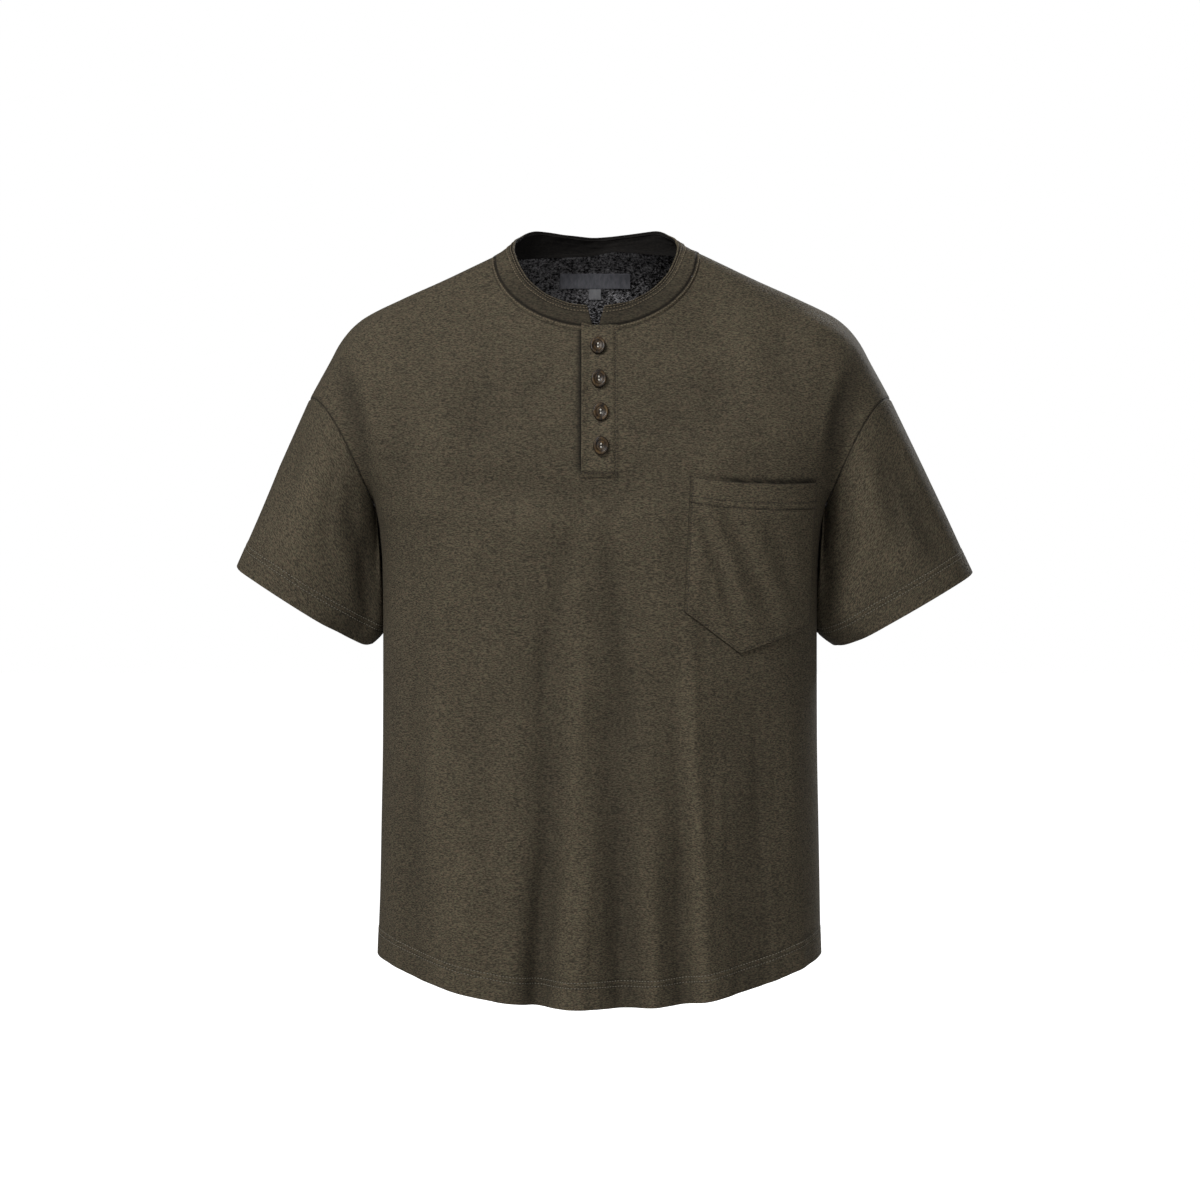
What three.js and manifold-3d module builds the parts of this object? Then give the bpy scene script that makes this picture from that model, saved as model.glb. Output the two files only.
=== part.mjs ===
// Henley shirt with short sleeves, in the hollow shape that it has when it is worn.
// Millimetres. +Z is up, the front faces -Y and the wearer's left is +X.
// The origin lies between the shoulders, level with the point where the shoulder seams meet the neck.
import * as THREE from 'three';
import { mergeVertices } from 'three/addons/utils/BufferGeometryUtils.js';
import Module from 'manifold-3d';

// Cloth, the gap between front and back at their seams, the gap beside a sleeve or the collar, and the
// gap under what is laid on a panel.
const wall = 1.5;
const seamGap = 0.3;
const ringGap = 0.55;
const layGap = 0.5;

// Panel grids: rows from the top to the underarm and from there to the hem, and the rings of a sleeve.
// The panel lines that start at the neck lean sideways by up to neckLeave.
const armholeRows = 10;
const bodyRows = 17;
const sleeveRings = 10;
const collarRows = 4;
const neckLeave = 34;

// The neck opening lies a little to the wearer's right of the placket.
const neck = { centre: -4, halfWidth: 96, frontHeight: -76, backRise: 10 };
const armhole = { top: [277.5, -140], bottom: [212, -250], bow: 11, gusset: 0.5 };
const slot = { halfWidth: 14, bottom: -213 };
const placket = { left: -17.2, right: 16.4, bottom: -219.5, liftFrom: -9.2, lift: 2 };
const collarEnds = { seamTurn: 1.7, topTurn: 6.6, nextTurn: 10 };
const button = { halfWidth: 7.3, halfHeight: 8.7, thickness: 3.6, hole: 0.95, holeSpread: 2.3, facets: 20 };
const buttonPlaces = [
  { right: -1.9, up: -96.7 },
  { right: -0.9, up: -128.2 },
  { right: 0.6, up: -159.2 },
  { right: 0.9, up: -190.5 },
];
const pocket = {
  topInner: [83, -217.5], topOuter: [201, -220], bottomInner: [77, -342.5], tip: [129, -381.5],
  bottomOuter: [196, -357], innerColumns: 5, outerColumns: 8, rows: 10, mouth: 3, sideGap: 1,
};
const tagGap = 1.6;
const label = { left: -40, right: 30, top: -9, bottom: -23.6, thickness: 1 };
const sizeTab = { left: -11, right: 1, top: -24.2, bottom: -35, thickness: 1 };

// Height of the shoulder line against the distance from the centre.
const shoulderLine = [
  { out: 0, up: 27 }, { out: 40, up: 22.5 }, { out: 92, up: 0.5 }, { out: 108, up: -7 },
  { out: 148, up: -26 }, { out: 188, up: -44 }, { out: 224, up: -62 }, { out: 236, up: -71.6 },
  { out: 247, up: -85 }, { out: 260, up: -108 }, { out: 277.5, up: -140 }, { out: 283, up: -151 },
];

// Half width of the body at each height, and how square its section is there.
const bodyWidths = [
  { up: -712, out: 213, square: 2.3 }, { up: -635, out: 210, square: 2.35 },
  { up: -545, out: 208.2, square: 2.4 }, { up: -460, out: 206.8, square: 2.4 },
  { up: -355, out: 206.5, square: 2.5 }, { up: -300, out: 207, square: 2.6 },
  { up: -265, out: 209.5, square: 2.8 }, { up: -250, out: 212, square: 3 },
  { up: -236, out: 215.5, square: 3 }, { up: -207, out: 228, square: 3 },
  { up: -160, out: 246, square: 3 }, { up: -116, out: 255, square: 3 }, { up: 40, out: 250, square: 3 },
];

const frontDepths = [
  { up: -712, depth: 126 }, { up: -500, depth: 124 }, { up: -300, depth: 125 }, { up: -200, depth: 120 },
  { up: -130, depth: 100 }, { up: -75, depth: 73 }, { up: 0, depth: 55 }, { up: 40, depth: 50 },
];
const backDepths = [
  { up: -720, depth: 112 }, { up: -560, depth: 107 }, { up: -400, depth: 106 }, { up: -200, depth: 114 },
  { up: -120, depth: 110 }, { up: -50, depth: 101 }, { up: 8, depth: 96 }, { up: 40, depth: 94 },
];

// How far below the shoulder line the body reaches its full depth, and the shape of that curve.
const frontShoulder = [
  { out: 0, reach: 125, power: 1.7 }, { out: 95, reach: 125, power: 1.7 },
  { out: 150, reach: 95, power: 2 }, { out: 230, reach: 80, power: 2 },
];
const backShoulder = [
  { out: 0, reach: 60, power: 2 }, { out: 95, reach: 62, power: 2 },
  { out: 150, reach: 80, power: 2 }, { out: 230, reach: 80, power: 2 },
];

// Folds that hang to the hem. A positive push stands out, a negative one is a trough.
const frontFolds = [
  { hemAt: -172, topAt: -170, from: -330, width: 17, push: -4 },
  { hemAt: -136, topAt: -118, from: -420, width: 26, push: 5 },
  { hemAt: -57, topAt: -32, from: -320, width: 14, push: -12 },
  { hemAt: -24, topAt: -8, from: -430, width: 20, push: 8 },
  { hemAt: 24, topAt: 2, from: -250, width: 17, push: -9 },
  { hemAt: 50, topAt: 44, from: -520, width: 15, push: 4 },
  { hemAt: 77, topAt: 64, from: -450, width: 15, push: -9 },
  { hemAt: 98, topAt: 84, from: -340, width: 17, push: 8 },
  { hemAt: 148, topAt: 126, from: -400, width: 24, push: -6 },
];
const backFolds = [
  { hemAt: -150, topAt: -128, from: -360, width: 24, push: -6 },
  { hemAt: -104, topAt: -84, from: -300, width: 24, push: 8 },
  { hemAt: -52, topAt: -40, from: -400, width: 18, push: -8 },
  { hemAt: 6, topAt: 2, from: -260, width: 26, push: 7 },
  { hemAt: 58, topAt: 42, from: -420, width: 18, push: -9 },
  { hemAt: 112, topAt: 90, from: -330, width: 25, push: 8 },
  { hemAt: 160, topAt: 136, from: -450, width: 20, push: -5 },
];

// A cut is one body panel: which way it faces and its own outlines.
const frontCut = {
  facing: -1, depths: frontDepths, shoulder: frontShoulder, armDepth: 64, folds: frontFolds,
  hemCentre: -706, hemRise: 40, neckColumns: 8, shoulderColumns: 13, slotted: true,
};
const backCut = {
  facing: 1, depths: backDepths, shoulder: backShoulder, armDepth: 62, folds: backFolds,
  hemCentre: -711, hemRise: 45, neckColumns: 6, shoulderColumns: 11, slotted: false,
};

// The sleeves: the ends of the cuff in the front view, and the folds by their turn round the arm.
const leftArm = {
  side: 1, cuffOuter: [357, -304.6], cuffInner: [230, -378.5], depth: 61,
  folds: [
    { turn: 52, width: 13, push: -4.5, from: 0.1, to: 0.95 },
    { turn: 96, width: 20, push: 3, from: 0.1, to: 0.9 },
    { turn: 142, width: 14, push: -4, from: 0.3, to: 1.2 },
    { turn: 232, width: 22, push: -4, from: 0.1, to: 1 },
  ],
};
const rightArm = {
  side: -1, cuffOuter: [348.6, -299], cuffInner: [225, -377], depth: 61,
  folds: [
    { turn: 78, width: 20, push: 3, from: 0.1, to: 0.9 },
    { turn: 136, width: 16, push: -6, from: 0.15, to: 1.2 },
    { turn: 240, width: 22, push: -4, from: 0.1, to: 1 },
  ],
};

// The underarm line of a sleeve from armhole to cuff, which lies against the side of the body.
const underarmLine = [
  { share: 0, out: 212, back: 0 }, { share: 0.15, out: 210, back: 6 }, { share: 0.4, out: 207.6, back: 14 },
  { share: 0.78, out: 207.2, back: 16 }, { share: 1, out: 207.2, back: 14 },
];
const cuffTurn = { from: 0.78, over: 0.22 };

// Top edge of the collar by the turn round the neck, from the centre front to the centre back.
const collarTop = [
  { turn: 0, out: 0, back: -58, up: -57 }, { turn: 20, out: 24, back: -56, up: -53.5 },
  { turn: 40, out: 47, back: -46, up: -43 }, { turn: 60, out: 64, back: -32, up: -27.8 },
  { turn: 75, out: 73.5, back: -17, up: -10 }, { turn: 90, out: 77.5, back: 0, up: 3.5 },
  { turn: 105, out: 76.5, back: 17, up: 13 }, { turn: 125, out: 70, back: 36, up: 21 },
  { turn: 145, out: 56, back: 50, up: 26.5 }, { turn: 165, out: 28, back: 59.5, up: 24 },
  { turn: 180, out: 0, back: 62, up: 21.5 },
];

const mix = (a, b, share) => a + (b - a) * share;
const clamp = (value) => Math.min(1, Math.max(0, value));
const smooth = (share) => clamp(share) ** 2 * (3 - 2 * clamp(share));
const radians = (degrees) => (degrees * Math.PI) / 180;
const arc = (share, power) => Math.max(0, 1 - Math.abs(share) ** power) ** (1 / power);

// A smooth curve through one column of a table, which never swings past its rows.
function curve(table, along, column) {
  const rows = [...table].sort((a, b) => a[along] - b[along]);
  const at = rows.map((row) => row[along]);
  const value = rows.map((row) => row[column]);
  const slopes = at.slice(1).map((end, i) => (value[i + 1] - value[i]) / (end - at[i]));
  const tangents = value.map((_, i) => {
    const before = slopes[i - 1] ?? slopes[i];
    const after = slopes[i] ?? slopes[i - 1];
    return before * after <= 0 ? 0 : (2 * before * after) / (before + after);
  });
  return (x) => {
    if (x <= at[0]) return value[0];
    if (x >= at[at.length - 1]) return value[value.length - 1];
    const i = at.findIndex((end) => end > x) - 1;
    const span = at[i + 1] - at[i];
    const t = (x - at[i]) / span;
    const rise = value[i + 1] - value[i];
    const bend = span * (tangents[i] * (1 - t) - tangents[i + 1] * t) - rise * (1 - 2 * t);
    return value[i] + rise * t + t * (1 - t) * bend;
  };
}

const shoulderHeight = curve(shoulderLine, 'out', 'up');
const bodyHalfWidth = curve(bodyWidths, 'up', 'out');
const bodySquareness = curve(bodyWidths, 'up', 'square');
const underarmOut = curve(underarmLine, 'share', 'out');
const underarmBack = curve(underarmLine, 'share', 'back');
for (const cut of [frontCut, backCut]) {
  cut.depthAt = curve(cut.depths, 'up', 'depth');
  cut.reachAt = curve(cut.shoulder, 'out', 'reach');
  cut.powerAt = curve(cut.shoulder, 'out', 'power');
}

// The armhole line gives the two directions of the arm: across it, and down along the seam.
const armholeLength = Math.hypot(armhole.top[0] - armhole.bottom[0], armhole.top[1] - armhole.bottom[1]);
const seamDirection = [
  (armhole.bottom[0] - armhole.top[0]) / armholeLength,
  (armhole.bottom[1] - armhole.top[1]) / armholeLength,
];
const armDirection = [-seamDirection[1], seamDirection[0]];
const overArm = (out, up) => out * armDirection[0] + up * armDirection[1];
const downSeam = (out, up) => out * seamDirection[0] + up * seamDirection[1];
const armEdge = curve(
  shoulderLine.map(({ out, up }) => ({ over: overArm(out, up), down: downSeam(out, up) })), 'over', 'down');
const armFade = { from: 140, to: 215, reach: 20 };

const hemHeight = (cut, x) => cut.hemCentre + cut.hemRise * clamp(Math.abs(x) / 212) ** 2.2;

function foldPush(cut, x, z) {
  let push = 0;
  for (const fold of cut.folds) {
    const hem = hemHeight(cut, fold.hemAt);
    const share = (fold.from - z) / (fold.from - hem);
    const middle = mix(fold.topAt, fold.hemAt, share);
    push += fold.push * smooth(share * 0.9) * Math.exp(-(((x - middle) / fold.width) ** 2));
  }
  return push * (1 - clamp(Math.abs(x) / bodyHalfWidth(z)) ** 8);
}

// Distance of a body panel's outer face from the plane of the side seams, seen from the front.
function bodyDepth(cut, x, z) {
  const out = Math.abs(x);
  const drop = Math.max(0, shoulderHeight(out) - z);
  const round = arc(1 - clamp(drop / cut.reachAt(out)), cut.powerAt(out));
  const section = arc(clamp(out / bodyHalfWidth(z)), bodySquareness(z));
  const body = cut.depthAt(z) * section * round;
  const over = overArm(out, z);
  const down = downSeam(out, z) - armEdge(over);
  const across = Math.min(1, Math.abs((2 * down) / armholeLength - 1));
  const fade = smooth((over - armFade.from) / (armFade.to - armFade.from));
  const arm = cut.armDepth * fade * arc(across, 2) * arc(1 - clamp(drop / armFade.reach), 2);
  const joined = (body ** 8 + arm ** 8) ** (1 / 8);
  return Math.max(seamGap / 2, joined + foldPush(cut, x, z));
}

const onBody = (cut, x, z) => new THREE.Vector3(x, cut.facing * bodyDepth(cut, x, z), z);

// The outward direction of a body panel's outer face.
function bodyNormal(cut, x, z) {
  const step = 0.5;
  const slopeX = (bodyDepth(cut, x + step, z) - bodyDepth(cut, x - step, z)) / (2 * step);
  const slopeZ = (bodyDepth(cut, x, z + step) - bodyDepth(cut, x, z - step)) / (2 * step);
  return new THREE.Vector3(-slopeX, cut.facing, -slopeZ).normalize();
}

const neckSide = (side) => neck.centre + side * neck.halfWidth;
const neckX = (side, turn) => neck.centre + side * neck.halfWidth * Math.sin(radians(turn));
const neckTurn = (side, x) => Math.asin((side * (x - neck.centre)) / neck.halfWidth) * (180 / Math.PI);

// The neck seam: turn 0 is the centre front, 90 the shoulder seam and 180 the centre back.
function neckHeight(side, turn) {
  const top = shoulderHeight(Math.abs(neckSide(side)));
  const along = Math.cos(radians(turn));
  return along > 0 ? mix(top, neck.frontHeight, along) : top + neck.backRise * along ** 2;
}

// Top edge of half a panel in the front view, by its share from the slot to the armhole.
function topEdge(cut, side, column) {
  if (column <= cut.neckColumns) {
    const front = cut.facing < 0;
    const start = neckTurn(side, side * slot.halfWidth);
    const turn = mix(start, 90, column / cut.neckColumns);
    const around = front ? turn : 180 - turn;
    return [neckX(side, around), neckHeight(side, around)];
  }
  const share = (column - cut.neckColumns) / cut.shoulderColumns;
  const start = Math.abs(neckSide(side));
  const out = mix(start, armhole.top[0], 1 - (1 - share) ** 1.5);
  return [side * out, shoulderHeight(out)];
}

// The armhole seam in the front view: turn 0 is the top of the shoulder and 180 the underarm.
function armholePoint(side, turn) {
  const share = (1 - Math.cos(radians(turn))) / 2;
  const bow = armhole.bow * Math.sin(radians(turn)) * (1 + armhole.gusset * Math.cos(radians(turn)));
  const out = mix(armhole.top[0], armhole.bottom[0], share) - bow * armDirection[0];
  return [side * out, mix(armhole.top[1], armhole.bottom[1], share) - bow * armDirection[1]];
}

// Grid point of a panel in the front view. Columns count from the centre line, rows from the top.
function panelPoint(cut, side, column, row) {
  if (column === 0) return [0, panelPoint(cut, 1, 1, row)[1]];
  const columns = cut.neckColumns + cut.shoulderColumns;
  const u = Math.sin((Math.PI / 2) * ((column - 1) / columns));
  const slotX = side * slot.halfWidth;
  const edgeX = side * armhole.bottom[0];
  if (row <= armholeRows) {
    const spread = radians(81);
    const v = (1 - Math.cos((spread * row) / armholeRows)) / (1 - Math.cos(spread));
    const above = topEdge(cut, side, column - 1);
    const below = [mix(slotX, edgeX, u), mix(slot.bottom, armhole.bottom[1], u)];
    const end = topEdge(cut, side, columns);
    const seam = armholePoint(side, (180 * row) / armholeRows);
    // The lines that start beside the neck leave it sideways, so that no cell is thinner than the wall.
    const beside = column <= cut.neckColumns + 1
      ? ((column - 1) / cut.neckColumns) ** 2
      : 1 - smooth((column - 1 - cut.neckColumns) / cut.shoulderColumns);
    const leave = [side * neckLeave * beside * Math.sqrt(v) * (1 - v), 0];
    return [0, 1].map((axis) => {
      const outer = mix(end[axis], axis ? armhole.bottom[1] : edgeX, v);
      return mix(above[axis], below[axis], v) + u ** 3 * (seam[axis] - outer) + leave[axis];
    });
  }
  const v = (row - armholeRows) / bodyRows;
  const chest = mix(slot.bottom, armhole.bottom[1], u);
  const hem = hemHeight(cut, u * edgeX);
  const z = mix(chest, hem, v);
  return [side * mix(slot.halfWidth, bodyHalfWidth(z), u), z];
}

// Outward directions at the points of a grid, from the points beside each.
function gridNormals(points, inside, wraps = false) {
  const normals = points.map((line, row) => line.map((_, column) => {
    const before = wraps ? (column + line.length - 1) % line.length : Math.max(column - 1, 0);
    const after = wraps ? (column + 1) % line.length : Math.min(column + 1, line.length - 1);
    const above = points[Math.max(row - 1, 0)][column];
    const below = points[Math.min(row + 1, points.length - 1)][column];
    const across = line[after].clone().sub(line[before]);
    return across.cross(below.clone().sub(above)).normalize();
  }));
  const row = Math.floor(points.length / 2);
  const column = Math.floor(points[row].length / 4);
  const turned = normals[row][column].dot(points[row][column].clone().sub(inside)) < 0;
  if (turned) normals.flat().forEach((normal) => normal.negate());
  return normals;
}

// Each direction of a grid evened out with those beside it, so that the wall doesn't cross itself.
function evened(normals, wraps = false) {
  return normals.map((line, row) => line.map((normal, column) => {
    const sum = normal.clone().multiplyScalar(2);
    for (const [down, across] of [[-1, 0], [1, 0], [0, -1], [0, 1]]) {
      const place = wraps ? (column + across + line.length) % line.length : column + across;
      sum.add(normals[row + down]?.[place] ?? normal);
    }
    return sum.normalize();
  }));
}

// A closed wall between a grid of outer points and the grid of points under them.
function wallGeometry(outer, inner, { wraps = false, keep = () => true } = {}) {
  const rows = outer.length;
  const columns = outer[0].length;
  const points = [...outer.flat(), ...inner.flat()];
  const at = (row, column, under) => (under ? rows * columns : 0) + row * columns + (column % columns);
  const cellColumns = wraps ? columns : columns - 1;
  const kept = (row, column) => {
    const place = wraps ? (column + cellColumns) % cellColumns : column;
    return row >= 0 && row < rows - 1 && place >= 0 && place < cellColumns && keep(row, place);
  };
  const index = [];
  const quad = (a, b, c, d) => index.push(a, b, c, a, c, d);
  // Both edges of a seam are split from their higher end, so that they stay parallel.
  const rim = (a, b) => {
    const corners = [at(...a, false), at(...b, false), at(...b, true), at(...a, true)];
    if (points[corners[0]].z < points[corners[1]].z) corners.push(corners.shift());
    quad(...corners);
  };
  for (let row = 0; row < rows - 1; row += 1) {
    for (let column = 0; column < cellColumns; column += 1) {
      if (!kept(row, column)) continue;
      const corners = [[row, column], [row + 1, column], [row + 1, column + 1], [row, column + 1]];
      quad(...corners.map((corner) => at(...corner, false)));
      const [first, ...others] = corners.map((corner) => at(...corner, true));
      quad(first, ...others.reverse());
      const beside = [[row, column - 1], [row + 1, column], [row, column + 1], [row - 1, column]];
      beside.forEach((cell, i) => {
        if (!kept(...cell)) rim(corners[(i + 1) % 4], corners[i]);
      });
    }
  }
  return closedGeometry(points, index);
}

// A geometry from points and triangles, turned so that its faces point out.
function closedGeometry(points, index) {
  let volume = 0;
  for (let i = 0; i < index.length; i += 3) {
    const [a, b, c] = [0, 1, 2].map((corner) => points[index[i + corner]]);
    volume += a.dot(b.clone().cross(c));
  }
  const faces = volume < 0 ? [...index].reverse() : index;
  const used = [...new Set(faces)];
  const place = new Map(used.map((point, i) => [point, i]));
  const geometry = new THREE.BufferGeometry();
  geometry.setAttribute('position', new THREE.Float32BufferAttribute(
    used.flatMap((point) => points[point].toArray()), 3));
  geometry.setIndex(faces.map((point) => place.get(point)));
  geometry.computeVertexNormals();
  return geometry;
}

const under = (points, normals, thickness) => points.map((line, row) => line.map(
  (point, column) => point.clone().addScaledVector(normals[row][column], -thickness)));

// One body panel as its outer points and the directions of its wall.
function makePanel(cut) {
  const half = cut.neckColumns + cut.shoulderColumns + 1;
  const points = [];
  for (let row = 0; row <= armholeRows + bodyRows; row += 1) {
    points.push([]);
    for (let column = -half; column <= half; column += 1) {
      const side = column < 0 ? -1 : 1;
      points[row].push(onBody(cut, ...panelPoint(cut, side, Math.abs(column), row)));
    }
  }
  const flat = (point) => Math.abs(point.y) <= seamGap / 2 + 1e-6;
  const exact = points.map((line) => line.map((point) => {
    const normal = bodyNormal(cut, point.x, point.z);
    return flat(point) ? normal.setY(0).normalize() : normal;
  }));
  const normals = evened(evened(exact));
  points.forEach((line, row) => line.forEach((point, column) => {
    if (!flat(point)) return;
    if (row === armholeRows) normals[row][column].set(0, 0, -1);
    else normals[row][column].copy(exact[row][column]);
  }));
  return { cut, half, points, normals };
}

function panelGeometry(panel) {
  const slotted = (row, column) => panel.cut.slotted && row < armholeRows
    && Math.abs(column + 0.5 - panel.half) < 1;
  return wallGeometry(panel.points, under(panel.points, panel.normals, wall), {
    keep: (row, column) => !slotted(row, column),
  });
}

// The armhole edges of both panels as one ring, from the shoulder round the front to the underarm.
function armholeRing(front, back, side) {
  const ring = [];
  for (let row = 0; row <= 2 * armholeRows; row += 1) {
    const panel = row <= armholeRows ? front : back;
    const line = row <= armholeRows ? row : 2 * armholeRows - row;
    const column = side > 0 ? panel.points[0].length - 1 : 0;
    ring.push({ point: panel.points[line][column].clone(), normal: panel.normals[line][column] });
  }
  ring.pop();
  for (const row of [0, armholeRows]) ring[row].point.setY(0);
  return ring;
}

// The direction straight across a seam at each of its points, on the side that away points to.
function acrossSeam(line, away, wraps = false) {
  return line.map(({ normal }, i) => {
    const before = wraps ? (i + line.length - 1) % line.length : Math.max(i - 1, 0);
    const after = wraps ? (i + 1) % line.length : Math.min(i + 1, line.length - 1);
    const across = line[after].point.clone().sub(line[before].point).cross(normal).normalize();
    return across.dot(away(i)) < 0 ? across.negate() : across;
  });
}

function sleeveGeometry(arm, front, back) {
  const ring = armholeRing(front, back, arm.side);
  const away = new THREE.Vector3(arm.side * armDirection[0], 0, armDirection[1]);
  const across = acrossSeam(ring, () => away, true);
  const points = [];
  for (let step = 0; step <= sleeveRings; step += 1) {
    const share = 1 - (1 - step / sleeveRings) ** 1.5;
    const straight = mix(armhole.bottom[0], arm.cuffInner[0], share);
    const leaving = smooth((share - cuffTurn.from) / cuffTurn.over);
    const inward = mix(underarmOut(share), arm.cuffInner[0], leaving) - straight;
    points.push(ring.map(({ point }, i) => {
      const turn = (180 * i) / armholeRows;
      const down = (1 - Math.cos(radians(turn))) / 2;
      const cuff = new THREE.Vector3(
        arm.side * mix(arm.cuffOuter[0], arm.cuffInner[0], down), -arm.depth * Math.sin(radians(turn)),
        mix(arm.cuffOuter[1], arm.cuffInner[1], down));
      const start = point.clone().addScaledVector(across[i], ringGap);
      const place = start.lerp(cuff, share);
      const near = smooth((down - 0.5) / 0.5);
      place.x += arm.side * near * inward;
      place.y += near * underarmBack(share);
      for (const fold of arm.folds) {
        const near = Math.exp(-(((turn - fold.turn) / fold.width) ** 2));
        const grown = smooth((share - fold.from) / 0.3) * smooth((fold.to - share) / 0.2);
        const outward = new THREE.Vector3(
          arm.side * Math.cos(radians(turn)) * -seamDirection[0], -Math.sin(radians(turn)),
          Math.cos(radians(turn)) * -seamDirection[1]);
        place.addScaledVector(outward, fold.push * near * grown);
      }
      return place;
    }));
  }
  const middle = points[Math.floor(points.length / 2)];
  const inside = middle.reduce((sum, point) => sum.add(point), new THREE.Vector3());
  const exact = gridNormals(points, inside.divideScalar(middle.length), true);
  // At the armhole, both walls end about halfway between their own directions.
  ring.forEach(({ normal }, i) => {
    const own = exact[0][i].clone();
    exact[0][i] = i ? own.clone().add(normal).normalize() : normal;
    if (i % armholeRows) normal.multiplyScalar(2).add(own).normalize();
  });
  const normals = evened(evened(exact, true), true);
  normals[0] = exact[0];
  return wallGeometry(points, under(points, normals, wall), { wraps: true });
}

// The neck edges of both panels as one line, from the front end on the wearer's right round the back.
function neckLine(front, back) {
  const edge = (panel, side, column) => {
    const place = panel.half + side * column;
    return { point: panel.points[0][place].clone(), normal: panel.normals[0][place].clone(), side };
  };
  const end = (side) => {
    const turn = collarEnds.seamTurn;
    const [x, z] = [neckX(side, turn), neckHeight(side, turn)];
    const normal = bodyNormal(frontCut, x, z);
    return { point: onBody(frontCut, x, z), normal, side, turn: collarEnds.topTurn };
  };
  const line = [end(-1)];
  for (let column = 1; column <= frontCut.neckColumns; column += 1) line.push(edge(front, -1, column));
  for (let column = backCut.neckColumns + 1; column > 0; column -= 1) line.push(edge(back, -1, column));
  for (let column = 0; column <= backCut.neckColumns + 1; column += 1) line.push(edge(back, 1, column));
  for (let column = frontCut.neckColumns; column > 0; column -= 1) line.push(edge(front, 1, column));
  line.push(end(1));
  for (const place of line) {
    if (Math.abs(place.point.y) < seamGap) place.point.setY(0);
    const turn = neckTurn(place.side, place.point.x);
    place.turn ??= place.point.y > 0 ? 180 - turn : Math.max(turn, collarEnds.nextTurn);
  }
  return line;
}

function collarGeometry(front, back) {
  const line = neckLine(front, back);
  const [out, behind, up] = ['out', 'back', 'up'].map((column) => curve(collarTop, 'turn', column));
  const tops = line.map(({ side, turn }) => new THREE.Vector3(
    neck.centre + side * out(turn), behind(turn), up(turn)));
  const across = acrossSeam(line, (i) => tops[i].clone().sub(line[i].point));
  const points = [];
  for (let row = 0; row <= collarRows; row += 1) {
    points.push(line.map(({ point }, i) => (
      point.clone().addScaledVector(across[i], ringGap).lerp(tops[i], row / collarRows))));
  }
  const normals = gridNormals(points, new THREE.Vector3(neck.centre, 0, -20));
  normals[0] = line.map(({ normal }) => normal);
  return wallGeometry(points, under(points, normals, wall));
}

// A piece of cloth that follows a body panel, between two distances from its outer face.
function laidGeometry(cut, columns, rows, place, low, high) {
  const layer = (distance) => rows.map((t) => columns.map((s) => {
    const [x, z] = place(s, t);
    return onBody(cut, x, z).addScaledVector(bodyNormal(cut, x, z), distance(s, t));
  }));
  return wallGeometry(layer(high), layer(low));
}

const steps = (count) => Array.from({ length: count + 1 }, (_, i) => i / count);

function placketTopGeometry() {
  const columns = [placket.left, -13, placket.liftFrom, -3, 3, 9, placket.right];
  const lift = (x) => placket.lift * smooth((placket.liftFrom - x) / (placket.liftFrom - placket.left));
  const top = (x) => neckHeight(1, 0) - layGap - 0.01 * x * x;
  return laidGeometry(frontCut, columns, steps(14), (x, t) => [x, mix(top(x), placket.bottom, t)],
    (x) => layGap + lift(x), (x) => layGap + wall + lift(x));
}

function placketUnderGeometry() {
  const columns = [-17, -8, 0, 8, 17];
  const top = neckHeight(1, 0) - 2;
  return laidGeometry(frontCut, columns, steps(14), (x, t) => [x, mix(top, placket.bottom + 3, t)],
    () => -2 * wall - layGap, () => -wall - layGap);
}

function pocketGeometry() {
  const tipShare = (pocket.tip[0] - pocket.bottomInner[0]) / (pocket.bottomOuter[0] - pocket.bottomInner[0]);
  const columns = [
    ...steps(pocket.innerColumns).map((s) => s * tipShare),
    ...steps(pocket.outerColumns).slice(1).map((s) => mix(tipShare, 1, s)),
  ];
  const place = (s, t) => [0, 1].map((axis) => {
    const bottom = s < tipShare
      ? mix(pocket.bottomInner[axis], pocket.tip[axis], s / tipShare)
      : mix(pocket.tip[axis], pocket.bottomOuter[axis], (s - tipShare) / (1 - tipShare));
    return mix(mix(pocket.topInner[axis], pocket.topOuter[axis], s), bottom, t);
  });
  const under = (s, t) => mix(layGap, pocket.sideGap, s)
    + pocket.mouth * Math.sin(Math.PI * s) ** 0.8 * (1 - t) ** 4;
  return laidGeometry(frontCut, columns, steps(pocket.rows), place, under, (s, t) => under(s, t) + wall);
}

function tagGeometry(tag) {
  const columns = steps(6).map((s) => mix(tag.left, tag.right, s));
  return laidGeometry(backCut, columns, steps(3), (x, t) => [x, mix(tag.top, tag.bottom, t)],
    () => -wall - tagGap - tag.thickness, () => -wall - tagGap);
}

function toManifold(wasm, geometry) {
  const bare = geometry.clone();
  bare.deleteAttribute('normal');
  if (bare.getAttribute('uv')) bare.deleteAttribute('uv');
  const merged = mergeVertices(bare, 1e-4);
  return new wasm.Manifold(new wasm.Mesh({
    numProp: 3,
    vertProperties: new Float32Array(merged.getAttribute('position').array),
    triVerts: new Uint32Array(merged.getIndex().array),
  }));
}

function fromManifold(solid) {
  const mesh = solid.getMesh();
  const geometry = new THREE.BufferGeometry();
  geometry.setAttribute('position', new THREE.BufferAttribute(new Float32Array(mesh.vertProperties), 3));
  geometry.setIndex(new THREE.BufferAttribute(new Uint32Array(mesh.triVerts), 1));
  geometry.computeVertexNormals();
  return geometry;
}

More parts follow.
